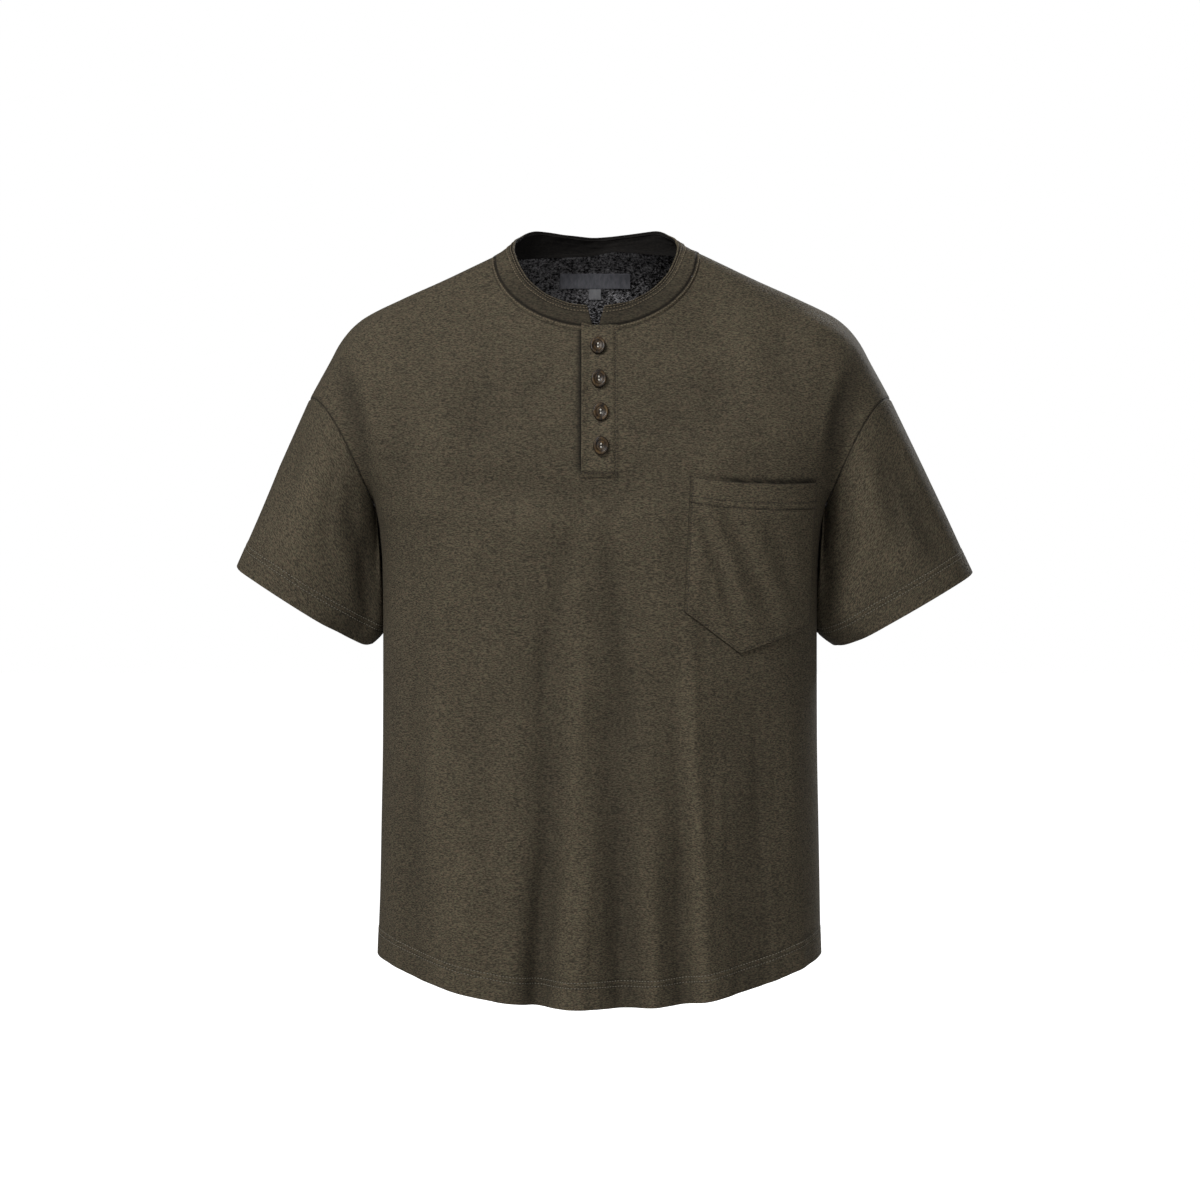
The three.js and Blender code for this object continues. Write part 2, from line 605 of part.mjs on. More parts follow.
// A dished oval button with two holes, one above the other. Its back lies on the plane z = 0.
function buttonGeometry(wasm) {
  const profile = [
    [0, 0], [0.8, 0], [1, 0.28], [1, 0.72], [0.86, 1], [0.66, 0.78], [0, 0.6],
  ].map(([radius, height]) => new THREE.Vector2(radius * button.halfWidth, height * button.thickness));
  const disc = new THREE.LatheGeometry(profile, button.facets);
  disc.rotateX(Math.PI / 2);
  disc.scale(1, button.halfHeight / button.halfWidth, 1);
  let solid = toManifold(wasm, disc);
  for (const end of [-1, 1]) {
    const drill = new THREE.CylinderGeometry(button.hole, button.hole, 3 * button.thickness, 8);
    drill.rotateX(Math.PI / 2);
    drill.translate(0, end * button.holeSpread, 0);
    solid = solid.subtract(toManifold(wasm, drill));
  }
  return fromManifold(solid);
}

function makeButtons(wasm, material) {
  const geometry = buttonGeometry(wasm);
  return buttonPlaces.map(({ right, up }, i) => {
    const mesh = new THREE.Mesh(geometry, material);
    const outward = bodyNormal(frontCut, right, up);
    const seat = layGap + wall + 0.35;
    mesh.name = `button_${i + 1}`;
    mesh.position.copy(onBody(frontCut, right, up).addScaledVector(outward, seat));
    const across = new THREE.Vector3(0, 0, 1).cross(outward).normalize();
    const upward = outward.clone().cross(across);
    mesh.setRotationFromMatrix(new THREE.Matrix4().makeBasis(across, upward, outward));
    return mesh;
  });
}

const wasm = await Module();
wasm.setup();

const jersey = new THREE.MeshStandardMaterial({ color: 0x4a4238, roughness: 0.92, metalness: 0 });
const horn = new THREE.MeshStandardMaterial({ color: 0x3b3226, roughness: 0.35, metalness: 0 });
const tape = new THREE.MeshStandardMaterial({ color: 0x36363a, roughness: 0.7, metalness: 0 });

const front = makePanel(frontCut);
const back = makePanel(backCut);
const shirt = new THREE.Group();

function add(name, geometry, material) {
  const mesh = new THREE.Mesh(geometry, material);
  mesh.name = name;
  shirt.add(mesh);
}

const sleeves = [leftArm, rightArm].map((arm) => sleeveGeometry(arm, front, back));
add('front', panelGeometry(front), jersey);
add('back', panelGeometry(back), jersey);
add('sleeve_left', sleeves[0], jersey);
add('sleeve_right', sleeves[1], jersey);
add('collar', collarGeometry(front, back), jersey);
add('placket_top', placketTopGeometry(), jersey);
add('placket_under', placketUnderGeometry(), jersey);
add('pocket', pocketGeometry(), jersey);
add('neck_label', tagGeometry(label), tape);
add('size_tab', tagGeometry(sizeTab), tape);
shirt.add(...makeButtons(wasm, horn));

export default shirt;
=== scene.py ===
"""A henley shirt with short sleeves, in the hollow shape that it has when it is worn.

The front faces -Y, the wearer's left is +X, and the origin lies between the shoulders.
The form is worked out in millimetres and made in metres.
"""

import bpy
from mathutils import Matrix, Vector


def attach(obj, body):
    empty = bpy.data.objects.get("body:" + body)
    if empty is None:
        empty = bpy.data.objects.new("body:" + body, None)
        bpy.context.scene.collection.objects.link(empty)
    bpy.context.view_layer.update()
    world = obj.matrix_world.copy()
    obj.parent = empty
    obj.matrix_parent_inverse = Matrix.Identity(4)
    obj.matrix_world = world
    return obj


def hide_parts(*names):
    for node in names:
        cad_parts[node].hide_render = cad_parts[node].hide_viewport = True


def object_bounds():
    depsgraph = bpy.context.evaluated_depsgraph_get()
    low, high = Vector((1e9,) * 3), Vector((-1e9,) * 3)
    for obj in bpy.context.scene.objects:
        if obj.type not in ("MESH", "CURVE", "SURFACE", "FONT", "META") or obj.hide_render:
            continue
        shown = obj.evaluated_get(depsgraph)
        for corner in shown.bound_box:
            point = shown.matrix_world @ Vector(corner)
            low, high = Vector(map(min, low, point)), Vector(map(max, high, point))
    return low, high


bl_info = {
    "name": "Henley shirt",
    "version": (1, 0, 0),
    "blender": (4, 5, 0),
    "location": "View3D > Sidebar > Henley",
    "description": "Dresses the packed henley shirt in cloth, stitches, pile and buttons",
    "category": "Add Mesh",
}

import math

import bmesh
import bpy
import numpy as np
from bpy.props import FloatProperty, FloatVectorProperty, IntProperty, PointerProperty
from mathutils import Matrix, Vector

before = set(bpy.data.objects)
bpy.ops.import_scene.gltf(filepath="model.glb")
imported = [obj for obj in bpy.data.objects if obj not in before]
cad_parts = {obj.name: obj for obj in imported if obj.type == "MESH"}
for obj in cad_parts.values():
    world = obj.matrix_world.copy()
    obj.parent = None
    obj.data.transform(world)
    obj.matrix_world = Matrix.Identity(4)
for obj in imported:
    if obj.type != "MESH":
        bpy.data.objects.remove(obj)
CAD_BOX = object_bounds()
MM = 0.001

# The form of the shirt, as the part's source has it, in millimetres.
WALL = 1.5
LAY_GAP = 0.5
ARMHOLE_ROWS = 10
BODY_ROWS = 17
NECK_LEAVE = 34
NECK = {"centre": -4, "half_width": 96, "front_height": -76, "back_rise": 10}
ARMHOLE = {"top": (277.5, -140), "bottom": (212, -250), "bow": 11, "gusset": 0.5}
SLOT = {"half_width": 14, "bottom": -213}
PLACKET = {"left": -17.2, "right": 16.4, "bottom": -219.5, "lift_from": -9.2, "lift": 2}
COLLAR_ENDS = {"seam_turn": 1.7, "top_turn": 6.6}
# The button's lean turns its face a little forward, and its spread is the length of its threads.
BUTTON = {
    "half_width": 7.3, "half_height": 8.7, "thickness": 3.6, "floor": 0.47, "lift": 1.2, "lean": 0.7,
    "spread": 2.3,
}
BUTTON_PLACES = [(-1.9, -96.7), (-0.9, -128.2), (0.6, -159.2), (0.9, -190.5)]
POCKET = {
    "top_inner": (83, -217.5), "top_outer": (201, -222), "bottom_inner": (77, -342.5),
    "tip": (129, -381.5), "bottom_outer": (196, -357), "mouth": 3, "side_gap": 1,
}
TAG_GAP = 1.6
LABEL = {"left": -40, "right": 30, "top": -9, "bottom": -23.6, "thickness": 1}
SIZE_TAB = {"left": -11, "right": 1, "top": -24.2, "bottom": -35, "thickness": 1}
SHOULDER_LINE = [
    (0, 27), (40, 22.5), (92, 0.5), (108, -7), (148, -26), (188, -44), (224, -62),
    (236, -71.6), (247, -85), (260, -108), (277.5, -140), (283, -151),
]
# Height, half width and squareness of the body's section.
BODY_WIDTHS = [
    (-712, 213, 2.3), (-635, 210, 2.35), (-545, 208.2, 2.4), (-460, 206.8, 2.4), (-355, 206.5, 2.5),
    (-300, 207, 2.6), (-265, 209.5, 2.8), (-250, 212, 3), (-236, 215.5, 3), (-207, 228, 3),
    (-160, 246, 3), (-116, 255, 3), (40, 250, 3),
]
# A cut is one body panel. Its folds are: place at the hem, place at the top, start, width, push.
FRONT = {
    "facing": -1, "arm_depth": 64, "hem_centre": -706, "hem_rise": 40, "neck": 8, "sides": 13,
    "depths": [(-712, 126), (-500, 124), (-300, 125), (-200, 120), (-130, 100), (-75, 73), (0, 55),
               (40, 50)],
    "shoulder": [(0, 125, 1.7), (95, 125, 1.7), (150, 95, 2), (230, 80, 2)],
    "folds": [(-172, -170, -330, 17, -4), (-136, -118, -420, 26, 5), (-57, -32, -320, 14, -12),
              (-24, -8, -430, 20, 8), (24, 2, -250, 17, -9), (50, 44, -520, 15, 4),
              (77, 64, -450, 15, -9), (98, 84, -340, 17, 8), (148, 126, -400, 24, -6)],
}
BACK = {
    "facing": 1, "arm_depth": 62, "hem_centre": -711, "hem_rise": 45, "neck": 6, "sides": 11,
    "depths": [(-720, 112), (-560, 107), (-400, 106), (-200, 114), (-120, 110), (-50, 101), (8, 96),
               (40, 94)],
    "shoulder": [(0, 60, 2), (95, 62, 2), (150, 80, 2), (230, 80, 2)],
    "folds": [(-150, -128, -360, 24, -6), (-104, -84, -300, 24, 8), (-52, -40, -400, 18, -8),
              (6, 2, -260, 26, 7), (58, 42, -420, 18, -9), (112, 90, -330, 25, 8),
              (160, 136, -450, 20, -5)],
}
# The folds of a sleeve are: turn round the arm, width, push, start and end along it.
LEFT_ARM = {
    "side": 1, "cuff_outer": (357, -304.6), "cuff_inner": (230, -378.5), "depth": 61, "outer_round": 2,
    "folds": [(52, 13, -4.5, 0.1, 0.95), (96, 20, 3, 0.1, 0.9), (142, 14, -4, 0.3, 1.2),
              (232, 22, -4, 0.1, 1)],
}
RIGHT_ARM = {
    "side": -1, "cuff_outer": (348.6, -299), "cuff_inner": (225, -377), "depth": 61, "outer_round": 7,
    "folds": [(78, 20, 3, 0.1, 0.9), (136, 16, -6, 0.15, 1.2), (240, 22, -4, 0.1, 1)],
}
# Share of the way down the underarm, how far out the sleeve is there, and how far back.
UNDERARM = [(0, 212, 0), (0.15, 210.4, 3), (0.4, 208.2, 6), (0.78, 207.8, 6), (1, 207.8, 5)]
CUFF_TURN = {"from": 0.8, "over": 0.2}
CUFF_CORNERS = {"inner": 9, "inner_from": 0.86, "outer_from": 0.1}
# Turn round the neck, and the collar's top edge there: out, back and up.
COLLAR_TOP = [
    (0, 0, -58, -57), (20, 24, -56, -53.5), (40, 47, -46, -43), (60, 64, -32, -27.8),
    (75, 73.5, -17, -10), (90, 77.5, 0, 3.5), (105, 76.5, 17, 13), (125, 70, 36, 21),
    (145, 56, 50, 26.5), (165, 28, 59.5, 24), (180, 0, 62, 21.5),
]

# Distances of the rows of stitches from their edges. The cuff's are on cloth stretched by a share.
HEM_ROWS = (20, 25)
HEM_BAND = 25
CUFF_STRETCH = 1.04
NECK_ROW = 3.6
COLLAR_ROWS = (4.9, 9.4)
POCKET_ROWS = (18, 24)
SEAM_WIDTH = 0.9
# Waves of the loose cloth and of the hem's edge: height, turns along x and z, and start.
RIPPLE = [(0.5, 0.071, 0.023, 1.1), (0.42, -0.052, 0.061, 0.3), (0.34, 0.118, -0.037, 2.3),
          (0.26, 0.031, 0.127, 4.0), (0.18, 0.19, 0.16, 0)]
HEM_WAVES = [(1, 5.1, 0, 0), (0.6, 8.7, 0, 1.3), (0.4, 14.9, 0, 0.4)]
# Folds of the pocket: push, place at its mouth, lean towards its foot, width.
POCKET_FOLDS = [(-3.4, 21, 68, 7), (3.0, 37, 66, 8), (-3.0, -8, 62, 6.5), (2.4, 5, 66, 6), (-1.8, 60, 56, 8),
                (1.4, 78, 36, 8)]
# Each light's name, place, share of the key light's power, and width.
LIGHTS = [("key_light", (-1.7, -2.2, 2.1), 1, 1.2), ("fill_light", (1.0, -3.1, 0.0), 0.16, 1.2),
          ("back_light", (1.6, 2.8, 1.4), 0.8, 1.3)]
LIGHTS_AIM = (0, 0, -0.33)
CAMERA_PLACE = (0, -3.0, -0.3314)
FLOOR_REACH = 30

# Soft creases that only the cloth has: points (x, z), width on each side, push.
# The first two on each panel are the falls beside the arms, where the body hangs over the sleeve.
FRONT_CREASES = [
    ([(-246, -84), (-234, -128), (-222, -178), (-214, -236)], (8, 20), -7.0),
    ([(248, -80), (236, -118), (220, -158), (213, -208), (212, -240)], (20, 8), -8.0),
    ([(-6, -225), (-30, -290), (-52, -400), (-62, -520)], (11, 13), -4.5),
    ([(4, -225), (12, -300), (24, -400), (38, -520)], (9, 10), -4.0),
    ([(-14, -330), (-22, -430), (-30, -560)], (14, 12), 3.0),
    ([(82, -330), (85, -400), (88, -500), (100, -620)], (7, 12), 5.0),
    ([(70, -430), (74, -520), (78, -640)], (12, 8), -4.5),
    ([(-166, -330), (-172, -450), (-178, -600), (-180, -690)], (10, 12), -4.0),
    ([(-146, -360), (-152, -480), (-160, -620)], (12, 16), 3.2),
    ([(-110, -400), (-112, -520), (-106, -660)], (16, 18), -2.6),
    ([(-84, -480), (-86, -580), (-84, -690)], (12, 14), 2.4),
    ([(-150, -110), (-120, -150), (-96, -206)], (40, 36), -4.5),
    ([(112, -100), (98, -140), (92, -190)], (34, 38), -3.5),
    ([(-230, -90), (-218, -140), (-208, -190), (-203, -250)], (6, 7), 2.6),
    ([(230, -90), (216, -140), (206, -190), (203, -250)], (7, 6), 2.6),
    ([(-150, -214), (-80, -226), (0, -232), (74, -226)], (14, 16), -2.4),
    ([(-140, -258), (-60, -262), (20, -258), (80, -268)], (16, 20), 2.6),
    ([(-172, -95), (-184, -170), (-186, -250), (-176, -330)], (14, 12), -3.4),
    ([(-120, -90), (-140, -150), (-150, -220)], (18, 20), 2.4),
    ([(-40, -110), (-70, -150), (-120, -185)], (12, 14), -1.8),
    ([(40, -120), (70, -150), (76, -200)], (12, 14), -2.0),
    ([(150, -66), (176, -120), (192, -180)], (18, 16), -3.0),
    ([(120, -60), (140, -110), (150, -170)], (16, 18), 2.0),
    ([(62, -240), (54, -300), (56, -380)], (10, 12), 2.2),
    ([(140, -400), (148, -500), (150, -620)], (16, 18), -3.0),
    ([(176, -390), (182, -500), (184, -640)], (12, 14), 2.6),
]
BACK_CREASES = [
    ([(-246, -90), (-234, -134), (-222, -184), (-213, -240)], (8, 20), -6.0),
    ([(247, -88), (235, -130), (223, -180), (213, -240)], (20, 8), -6.5),
    ([(-160, -190), (-120, -250), (-78, -350), (-66, -470)], (13, 16), -4.0),
    ([(166, -195), (122, -262), (90, -360), (80, -480)], (13, 16), -4.0),
    ([(-130, -250), (-104, -330), (-96, -450)], (14, 14), 2.8),
    ([(134, -262), (112, -350), (108, -470)], (14, 14), 2.8),
    ([(-60, -64), (-30, -92), (30, -94), (70, -60)], (12, 16), -2.4),
    ([(-90, -96), (-34, -128), (36, -130), (100, -92)], (16, 18), 2.0),
    ([(196, -240), (180, -340), (172, -460), (176, -600)], (11, 13), -4.0),
    ([(-196, -245), (-176, -350), (-166, -470), (-172, -610)], (11, 13), -4.2),
    ([(4, -190), (-10, -300), (-6, -420), (4, -560)], (14, 12), 3.4),
    ([(-30, -230), (-36, -330), (-30, -450)], (10, 12), -3.0),
    ([(34, -240), (30, -350), (36, -470)], (10, 12), -3.0),
    ([(120, -76), (150, -126), (188, -176)], (16, 16), 2.8),
    ([(-126, -80), (-160, -126), (-190, -180)], (16, 16), -2.8),
    ([(140, -100), (128, -160), (120, -215)], (14, 16), -2.4),
    ([(-100, -110), (-96, -170), (-104, -230)], (14, 16), 2.4),
]


def mix(a, b, share):
    return a + (b - a) * share


def smooth(share):
    share = np.clip(share, 0, 1)
    return share * share * (3 - 2 * share)


def hump(distance, width):
    return np.exp(-((distance / width) ** 2))


def humps(*lines):
    """The sum of soft lines, each with its weight, the distance from it and its width."""
    return sum(weight * hump(distance, width) for weight, distance, width in lines)


def waves(x, z, table):
    return sum(high * np.sin(x * along + z * up + start) for high, along, up, start in table)


def graded(*stretches):
    """Places from 0 to 1 in even stretches, each with its end and its count of places."""
    places, start = [], 0
    for end, count in stretches:
        places.append(np.linspace(start, end, count)[:-1])
        start = end
    return np.append(np.concatenate(places), start)


def arc(share, power):
    return np.maximum(0, 1 - np.abs(share) ** power) ** (1 / power)


def curve(table, column=1):
    """A smooth curve through one column of a table, which never swings past its rows."""
    rows = sorted(table)
    at = np.array([row[0] for row in rows], float)
    value = np.array([row[column] for row in rows], float)
    slope = np.diff(value) / np.diff(at)
    before, after = np.append(slope[0], slope), np.append(slope, slope[-1])
    total = np.where(before * after > 0, before + after, 1)
    tangent = np.where(before * after > 0, 2 * before * after / total, 0)

    def value_at(x):
        x = np.clip(x, at[0], at[-1])
        i = np.clip(np.searchsorted(at, x, side="right") - 1, 0, len(slope) - 1)
        span, rise = at[i + 1] - at[i], value[i + 1] - value[i]
        t = (x - at[i]) / span
        bend = span * (tangent[i] * (1 - t) - tangent[i + 1] * t) - rise * (1 - 2 * t)
        return value[i] + rise * t + t * (1 - t) * bend

    return value_at


shoulder_height = curve(SHOULDER_LINE)
body_half_width = curve(BODY_WIDTHS)
body_squareness = curve(BODY_WIDTHS, 2)
underarm_out, underarm_back = curve(UNDERARM), curve(UNDERARM, 2)
for cut, creases in ((FRONT, FRONT_CREASES), (BACK, BACK_CREASES)):
    cut["creases"] = creases
    cut["depth_at"] = curve(cut["depths"])
    cut["reach_at"] = curve(cut["shoulder"])
    cut["power_at"] = curve(cut["shoulder"], 2)

# The armhole line gives the two directions of the arm: across it, and down along the seam.
armhole_top, armhole_bottom = np.array(ARMHOLE["top"], float), np.array(ARMHOLE["bottom"], float)
armhole_length = np.linalg.norm(armhole_bottom - armhole_top)
seam_direction = (armhole_bottom - armhole_top) / armhole_length
arm_direction = np.array([-seam_direction[1], seam_direction[0]])


def over_arm(out, up):
    return out * arm_direction[0] + up * arm_direction[1]


def down_seam(out, up):
    return out * seam_direction[0] + up * seam_direction[1]


arm_edge = curve([(over_arm(out, up), down_seam(out, up)) for out, up in SHOULDER_LINE])


def hem_height(cut, x):
    return cut["hem_centre"] + cut["hem_rise"] * np.clip(np.abs(x) / 212, 0, 1) ** 2.2


def fold_push(cut, x, z):
    push = 0
    for hem_at, top_at, start, width, depth in cut["folds"]:
        share = (start - z) / (start - hem_height(cut, hem_at))
        middle = mix(top_at, hem_at, share)
        push = push + depth * smooth(share * 0.9) * hump(x - middle, width)
    return push * (1 - np.clip(np.abs(x) / body_half_width(z), 0, 1) ** 8)


def crease_push(creases, x, z):
    """The push of soft creases, each a bent line that fades out towards both ends."""
    push = np.zeros(np.broadcast(x, z).shape)
    for line, widths, depth in creases:
        line = np.array(line, float)
        length = np.linalg.norm(np.diff(line, axis=0), axis=1)
        run = np.append(0, np.cumsum(length)) / length.sum()
        near, along, turned = np.full(push.shape, 1e9), np.zeros(push.shape), np.zeros(push.shape)
        for i in range(len(line) - 1):
            step = line[i + 1] - line[i]
            share = ((x - line[i][0]) * step[0] + (z - line[i][1]) * step[1]) / (step @ step)
            share = np.clip(share, 0, 1)
            dx = x - line[i][0] - share * step[0]
            dz = z - line[i][1] - share * step[1]
            gap = np.hypot(dx, dz)
            closer = gap < near
            near = np.where(closer, gap, near)
            along = np.where(closer, mix(run[i], run[i + 1], share), along)
            turned = np.where(closer, step[0] * dz - step[1] * dx, turned)
        width = np.where(turned > 0, widths[0], widths[1])
        push += depth * hump(near, width) * np.sin(math.pi * np.clip(mix(0.04, 0.96, along), 0, 1))
    return push


def ripple(x, z):
    """The slight unevenness of cloth that hangs free, in broad soft waves."""
    return waves(x, z, RIPPLE)


def drape_lines(x, z):
    """Fine wrinkles that run down the cloth and grow towards the hem."""
    lean = x + 6 * np.sin(z * 0.011 + x * 0.02) - 0.04 * x * smooth((-250 - z) / 400)
    fine = 0.30 * np.sin(lean * 0.31 + 1.7 * np.sin(z * 0.013)) + 0.22 * np.sin(lean * 0.47 + 2.0 + z * 0.008)
    fine = fine + 0.16 * np.sin(lean * 0.71 - z * 0.012 + 0.8)
    patches = 0.55 + 0.45 * np.sin(x * 0.027 + z * 0.009 + 0.6) * np.sin(z * 0.017 - x * 0.011)
    return fine * patches * mix(0.45, 1.5, smooth((-180 - z) / 420))


def cloth_push(cut, x, z, creased):
    """How far the folds, creases and wrinkles of a panel stand out from its plain form."""
    push = fold_push(cut, x, z) * (1 + 0.5 * creased)
    if creased:
        out = np.abs(x)
        drop = np.maximum(0, shoulder_height(out) - z)
        away = 1 - np.clip(out / body_half_width(z), 0, 1) ** 8
        uneven = crease_push(cut["creases"], x, z) * smooth(drop / 40) + ripple(x, z + cut["facing"] * 90)
        uneven = uneven + drape_lines(x * cut["facing"], z)
        push = push + creased * uneven * away * smooth(drop / 25)
    return push


def body_depth(cut, x, z, creased=1.0):
    """Distance of a panel's outer face from the plane of the side seams, seen from the front."""
    out = np.abs(x)
    drop = np.maximum(0, shoulder_height(out) - z)
    whole = arc(1 - np.clip(drop / cut["reach_at"](out), 0, 1), cut["power_at"](out))
    section = arc(np.clip(out / body_half_width(z), 0, 1), body_squareness(z))
    body = cut["depth_at"](z) * section * whole
    over = over_arm(out, z)
    down = down_seam(out, z) - arm_edge(over)
    across = np.minimum(1, np.abs(2 * down / armhole_length - 1))
    fade = smooth((over - 140) / (215 - 140))
    arm = cut["arm_depth"] * fade * arc(across, 2) * arc(1 - np.clip(drop / 20, 0, 1), 2)
    joined = (body ** 8 + arm ** 8) ** (1 / 8)
    return np.maximum(0.1, joined + cloth_push(cut, x, z, creased))


def on_body(cut, x, z, creased=1.0):
    x, z = np.broadcast_arrays(x, z)
    return np.stack([x, cut["facing"] * body_depth(cut, x, z, creased), z], -1)


def unit(vectors):
    return vectors / np.maximum(np.linalg.norm(vectors, axis=-1, keepdims=True), 1e-9)


def body_normal(cut, x, z, creased=1.0):
    step = 1.0
    slope_x = body_depth(cut, x + step, z, creased) - body_depth(cut, x - step, z, creased)
    slope_z = body_depth(cut, x, z + step, creased) - body_depth(cut, x, z - step, creased)
    facing = np.full(slope_x.shape, 2.0 * step * cut["facing"])
    return unit(np.stack([-slope_x, facing, -slope_z], -1))


def neck_side(side):
    return NECK["centre"] + side * NECK["half_width"]


def neck_x(side, turn):
    return NECK["centre"] + side * NECK["half_width"] * np.sin(np.radians(turn))


def neck_turn(side, x):
    return np.degrees(np.arcsin(side * (x - NECK["centre"]) / NECK["half_width"]))


def neck_height(side, turn):
    """The neck seam: turn 0 is the centre front, 90 the shoulder seam and 180 the centre back."""
    top = shoulder_height(np.abs(neck_side(side)))
    along = np.cos(np.radians(turn))
    return np.where(along > 0, mix(top, NECK["front_height"], along), top + NECK["back_rise"] * along ** 2)


def armhole_point(side, turn):
    share = (1 - np.cos(np.radians(turn))) / 2
    bow = ARMHOLE["bow"] * np.sin(np.radians(turn)) * (1 + ARMHOLE["gusset"] * np.cos(np.radians(turn)))
    out = mix(armhole_top[0], armhole_bottom[0], share) - bow * arm_direction[0]
    return side * out, mix(armhole_top[1], armhole_bottom[1], share) - bow * arm_direction[1]


def top_edge(cut, side, column):
    """Top edge of half a panel, by its column from the slot to the armhole."""
    start = neck_turn(side, side * SLOT["half_width"])
    turn = mix(start, 90, np.clip(column / cut["neck"], 0, 1))
    around = turn if cut is FRONT else 180 - turn
    share = np.clip((column - cut["neck"]) / cut["sides"], 0, 1)
    out = mix(np.abs(neck_side(side)), armhole_top[0], 1 - (1 - share) ** 1.5)
    on_neck = column <= cut["neck"]
    return (np.where(on_neck, neck_x(side, around), side * out),
            np.where(on_neck, neck_height(side, around), shoulder_height(out)))


def half_panel(cut, side, column, row):
    """Points of a panel in the front view. Columns count from the slot's edge, rows from the top."""
    columns = cut["neck"] + cut["sides"]
    u = np.sin(math.pi / 2 * column / columns)
    slot_x, edge_x = side * SLOT["half_width"], side * armhole_bottom[0]
    upper = np.minimum(row, ARMHOLE_ROWS)
    v = (1 - np.cos(np.radians(81) * upper / ARMHOLE_ROWS)) / (1 - math.cos(math.radians(81)))
    beside = np.where(column <= cut["neck"], (column / cut["neck"]) ** 2,
                      1 - smooth((column - cut["neck"]) / cut["sides"]))
    leave = side * NECK_LEAVE * beside * np.sqrt(v) * (1 - v)
    above = top_edge(cut, side, column)
    below = mix(slot_x, edge_x, u), mix(SLOT["bottom"], armhole_bottom[1], u)
    end = top_edge(cut, side, np.array(float(columns)))
    seam = armhole_point(side, 180 * upper / ARMHOLE_ROWS)
    x = mix(above[0], below[0], v) + u ** 3 * (seam[0] - mix(end[0], edge_x, v)) + leave
    z = mix(above[1], below[1], v) + u ** 3 * (seam[1] - mix(end[1], armhole_bottom[1], v))
    down = np.clip((row - ARMHOLE_ROWS) / BODY_ROWS, 0, 1)
    low_z = mix(below[1], hem_height(cut, u * edge_x), down)
    low_x = side * mix(SLOT["half_width"], body_half_width(low_z), u)
    lower = row > ARMHOLE_ROWS
    return np.where(lower, low_x, x), np.where(lower, low_z, z)


def lengths(points, axis):
    """Running length along one direction of a grid."""
    step = np.linalg.norm(np.diff(points, axis=axis), axis=2)
    start = np.zeros_like(np.take(step, [0], axis))
    return np.cumsum(np.concatenate([start, step], axis), axis)


def flattened(points, normals):
    """Directions at the seams between front and back kept in the plane of those seams."""
    normals[..., 1] = np.where(np.abs(points[..., 1]) < 0.6, 0, normals[..., 1])
    return unit(normals)


def grid_normals(points, inside, wraps=False):
    across = np.gradient(points, axis=1)
    if wraps:
        across = np.roll(points, -1, 1) - np.roll(points, 1, 1)
    normals = unit(np.cross(across, np.gradient(points, axis=0)))
    turned = np.sum(normals * (points - np.array(inside, float))) < 0
    return -normals if turned else normals


def evened(normals, times, wraps=False):
    """Directions of a grid evened out with those beside them."""
    for _ in range(times):
        wide = np.pad(normals, ((1, 1), (1, 1), (0, 0)), "edge")
        if wraps:
            wide[1:-1, 0], wide[1:-1, -1] = normals[:, -1], normals[:, 0]
        beside = wide[:-2, 1:-1] + wide[2:, 1:-1] + wide[1:-1, :-2] + wide[1:-1, 2:]
        normals = unit(beside + 2 * normals)
    return normals


def between(table, row, column):
    """Values of a table between its places, by their rows and columns as broken numbers."""
    row = np.clip(row, 0, table.shape[0] - 1.001)
    column = np.clip(column, 0, table.shape[1] - 1.001)
    i, j = row.astype(int), column.astype(int)
    upper = mix(table[i, j], table[i, j + 1], column - j)
    return mix(upper, mix(table[i + 1, j], table[i + 1, j + 1], column - j), row - i)


def hung_uv(cut, x, z):
    """Texture places of a panel in metres: the wales hang down and the courses run level."""
    level, out, chest = np.arange(-720.0, 34, 3), np.arange(0.0, 288, 3), -300.0
    depth = body_depth(cut, out[None, :], level[:, None], 0)
    for _ in range(80):
        wide = np.pad(depth, 1, "edge")
        depth = (wide[:-2, 1:-1] + wide[2:, 1:-1] + wide[1:-1, :-2] + wide[1:-1, 2:] + 4 * depth) / 8
    across = np.cumsum(np.hypot(np.diff(depth, axis=1, prepend=depth[:, :1]), 3), 1) - 3
    down = np.cumsum(np.hypot(np.diff(depth, axis=0, prepend=depth[:1]), 3), 0) - 3
    down = down - down[int((chest - level[0]) / 3)][None, :] + chest
    row, column = (z - level[0]) / 3, np.abs(x) / 3
    return np.stack([np.sign(x) * between(across, row, column), between(down, row, column)], -1) * MM


def own_uv(points, wraps=False):
    """Texture places in metres, from the running lengths of a grid's own lines."""
    if wraps:
        points = np.concatenate([points, points[:, :1]], 1)
    along, down = lengths(points, 1), lengths(points, 0)
    middle = points.shape[1] // 2
    return np.stack([along - along[:, middle:middle + 1], -down], -1) * MM


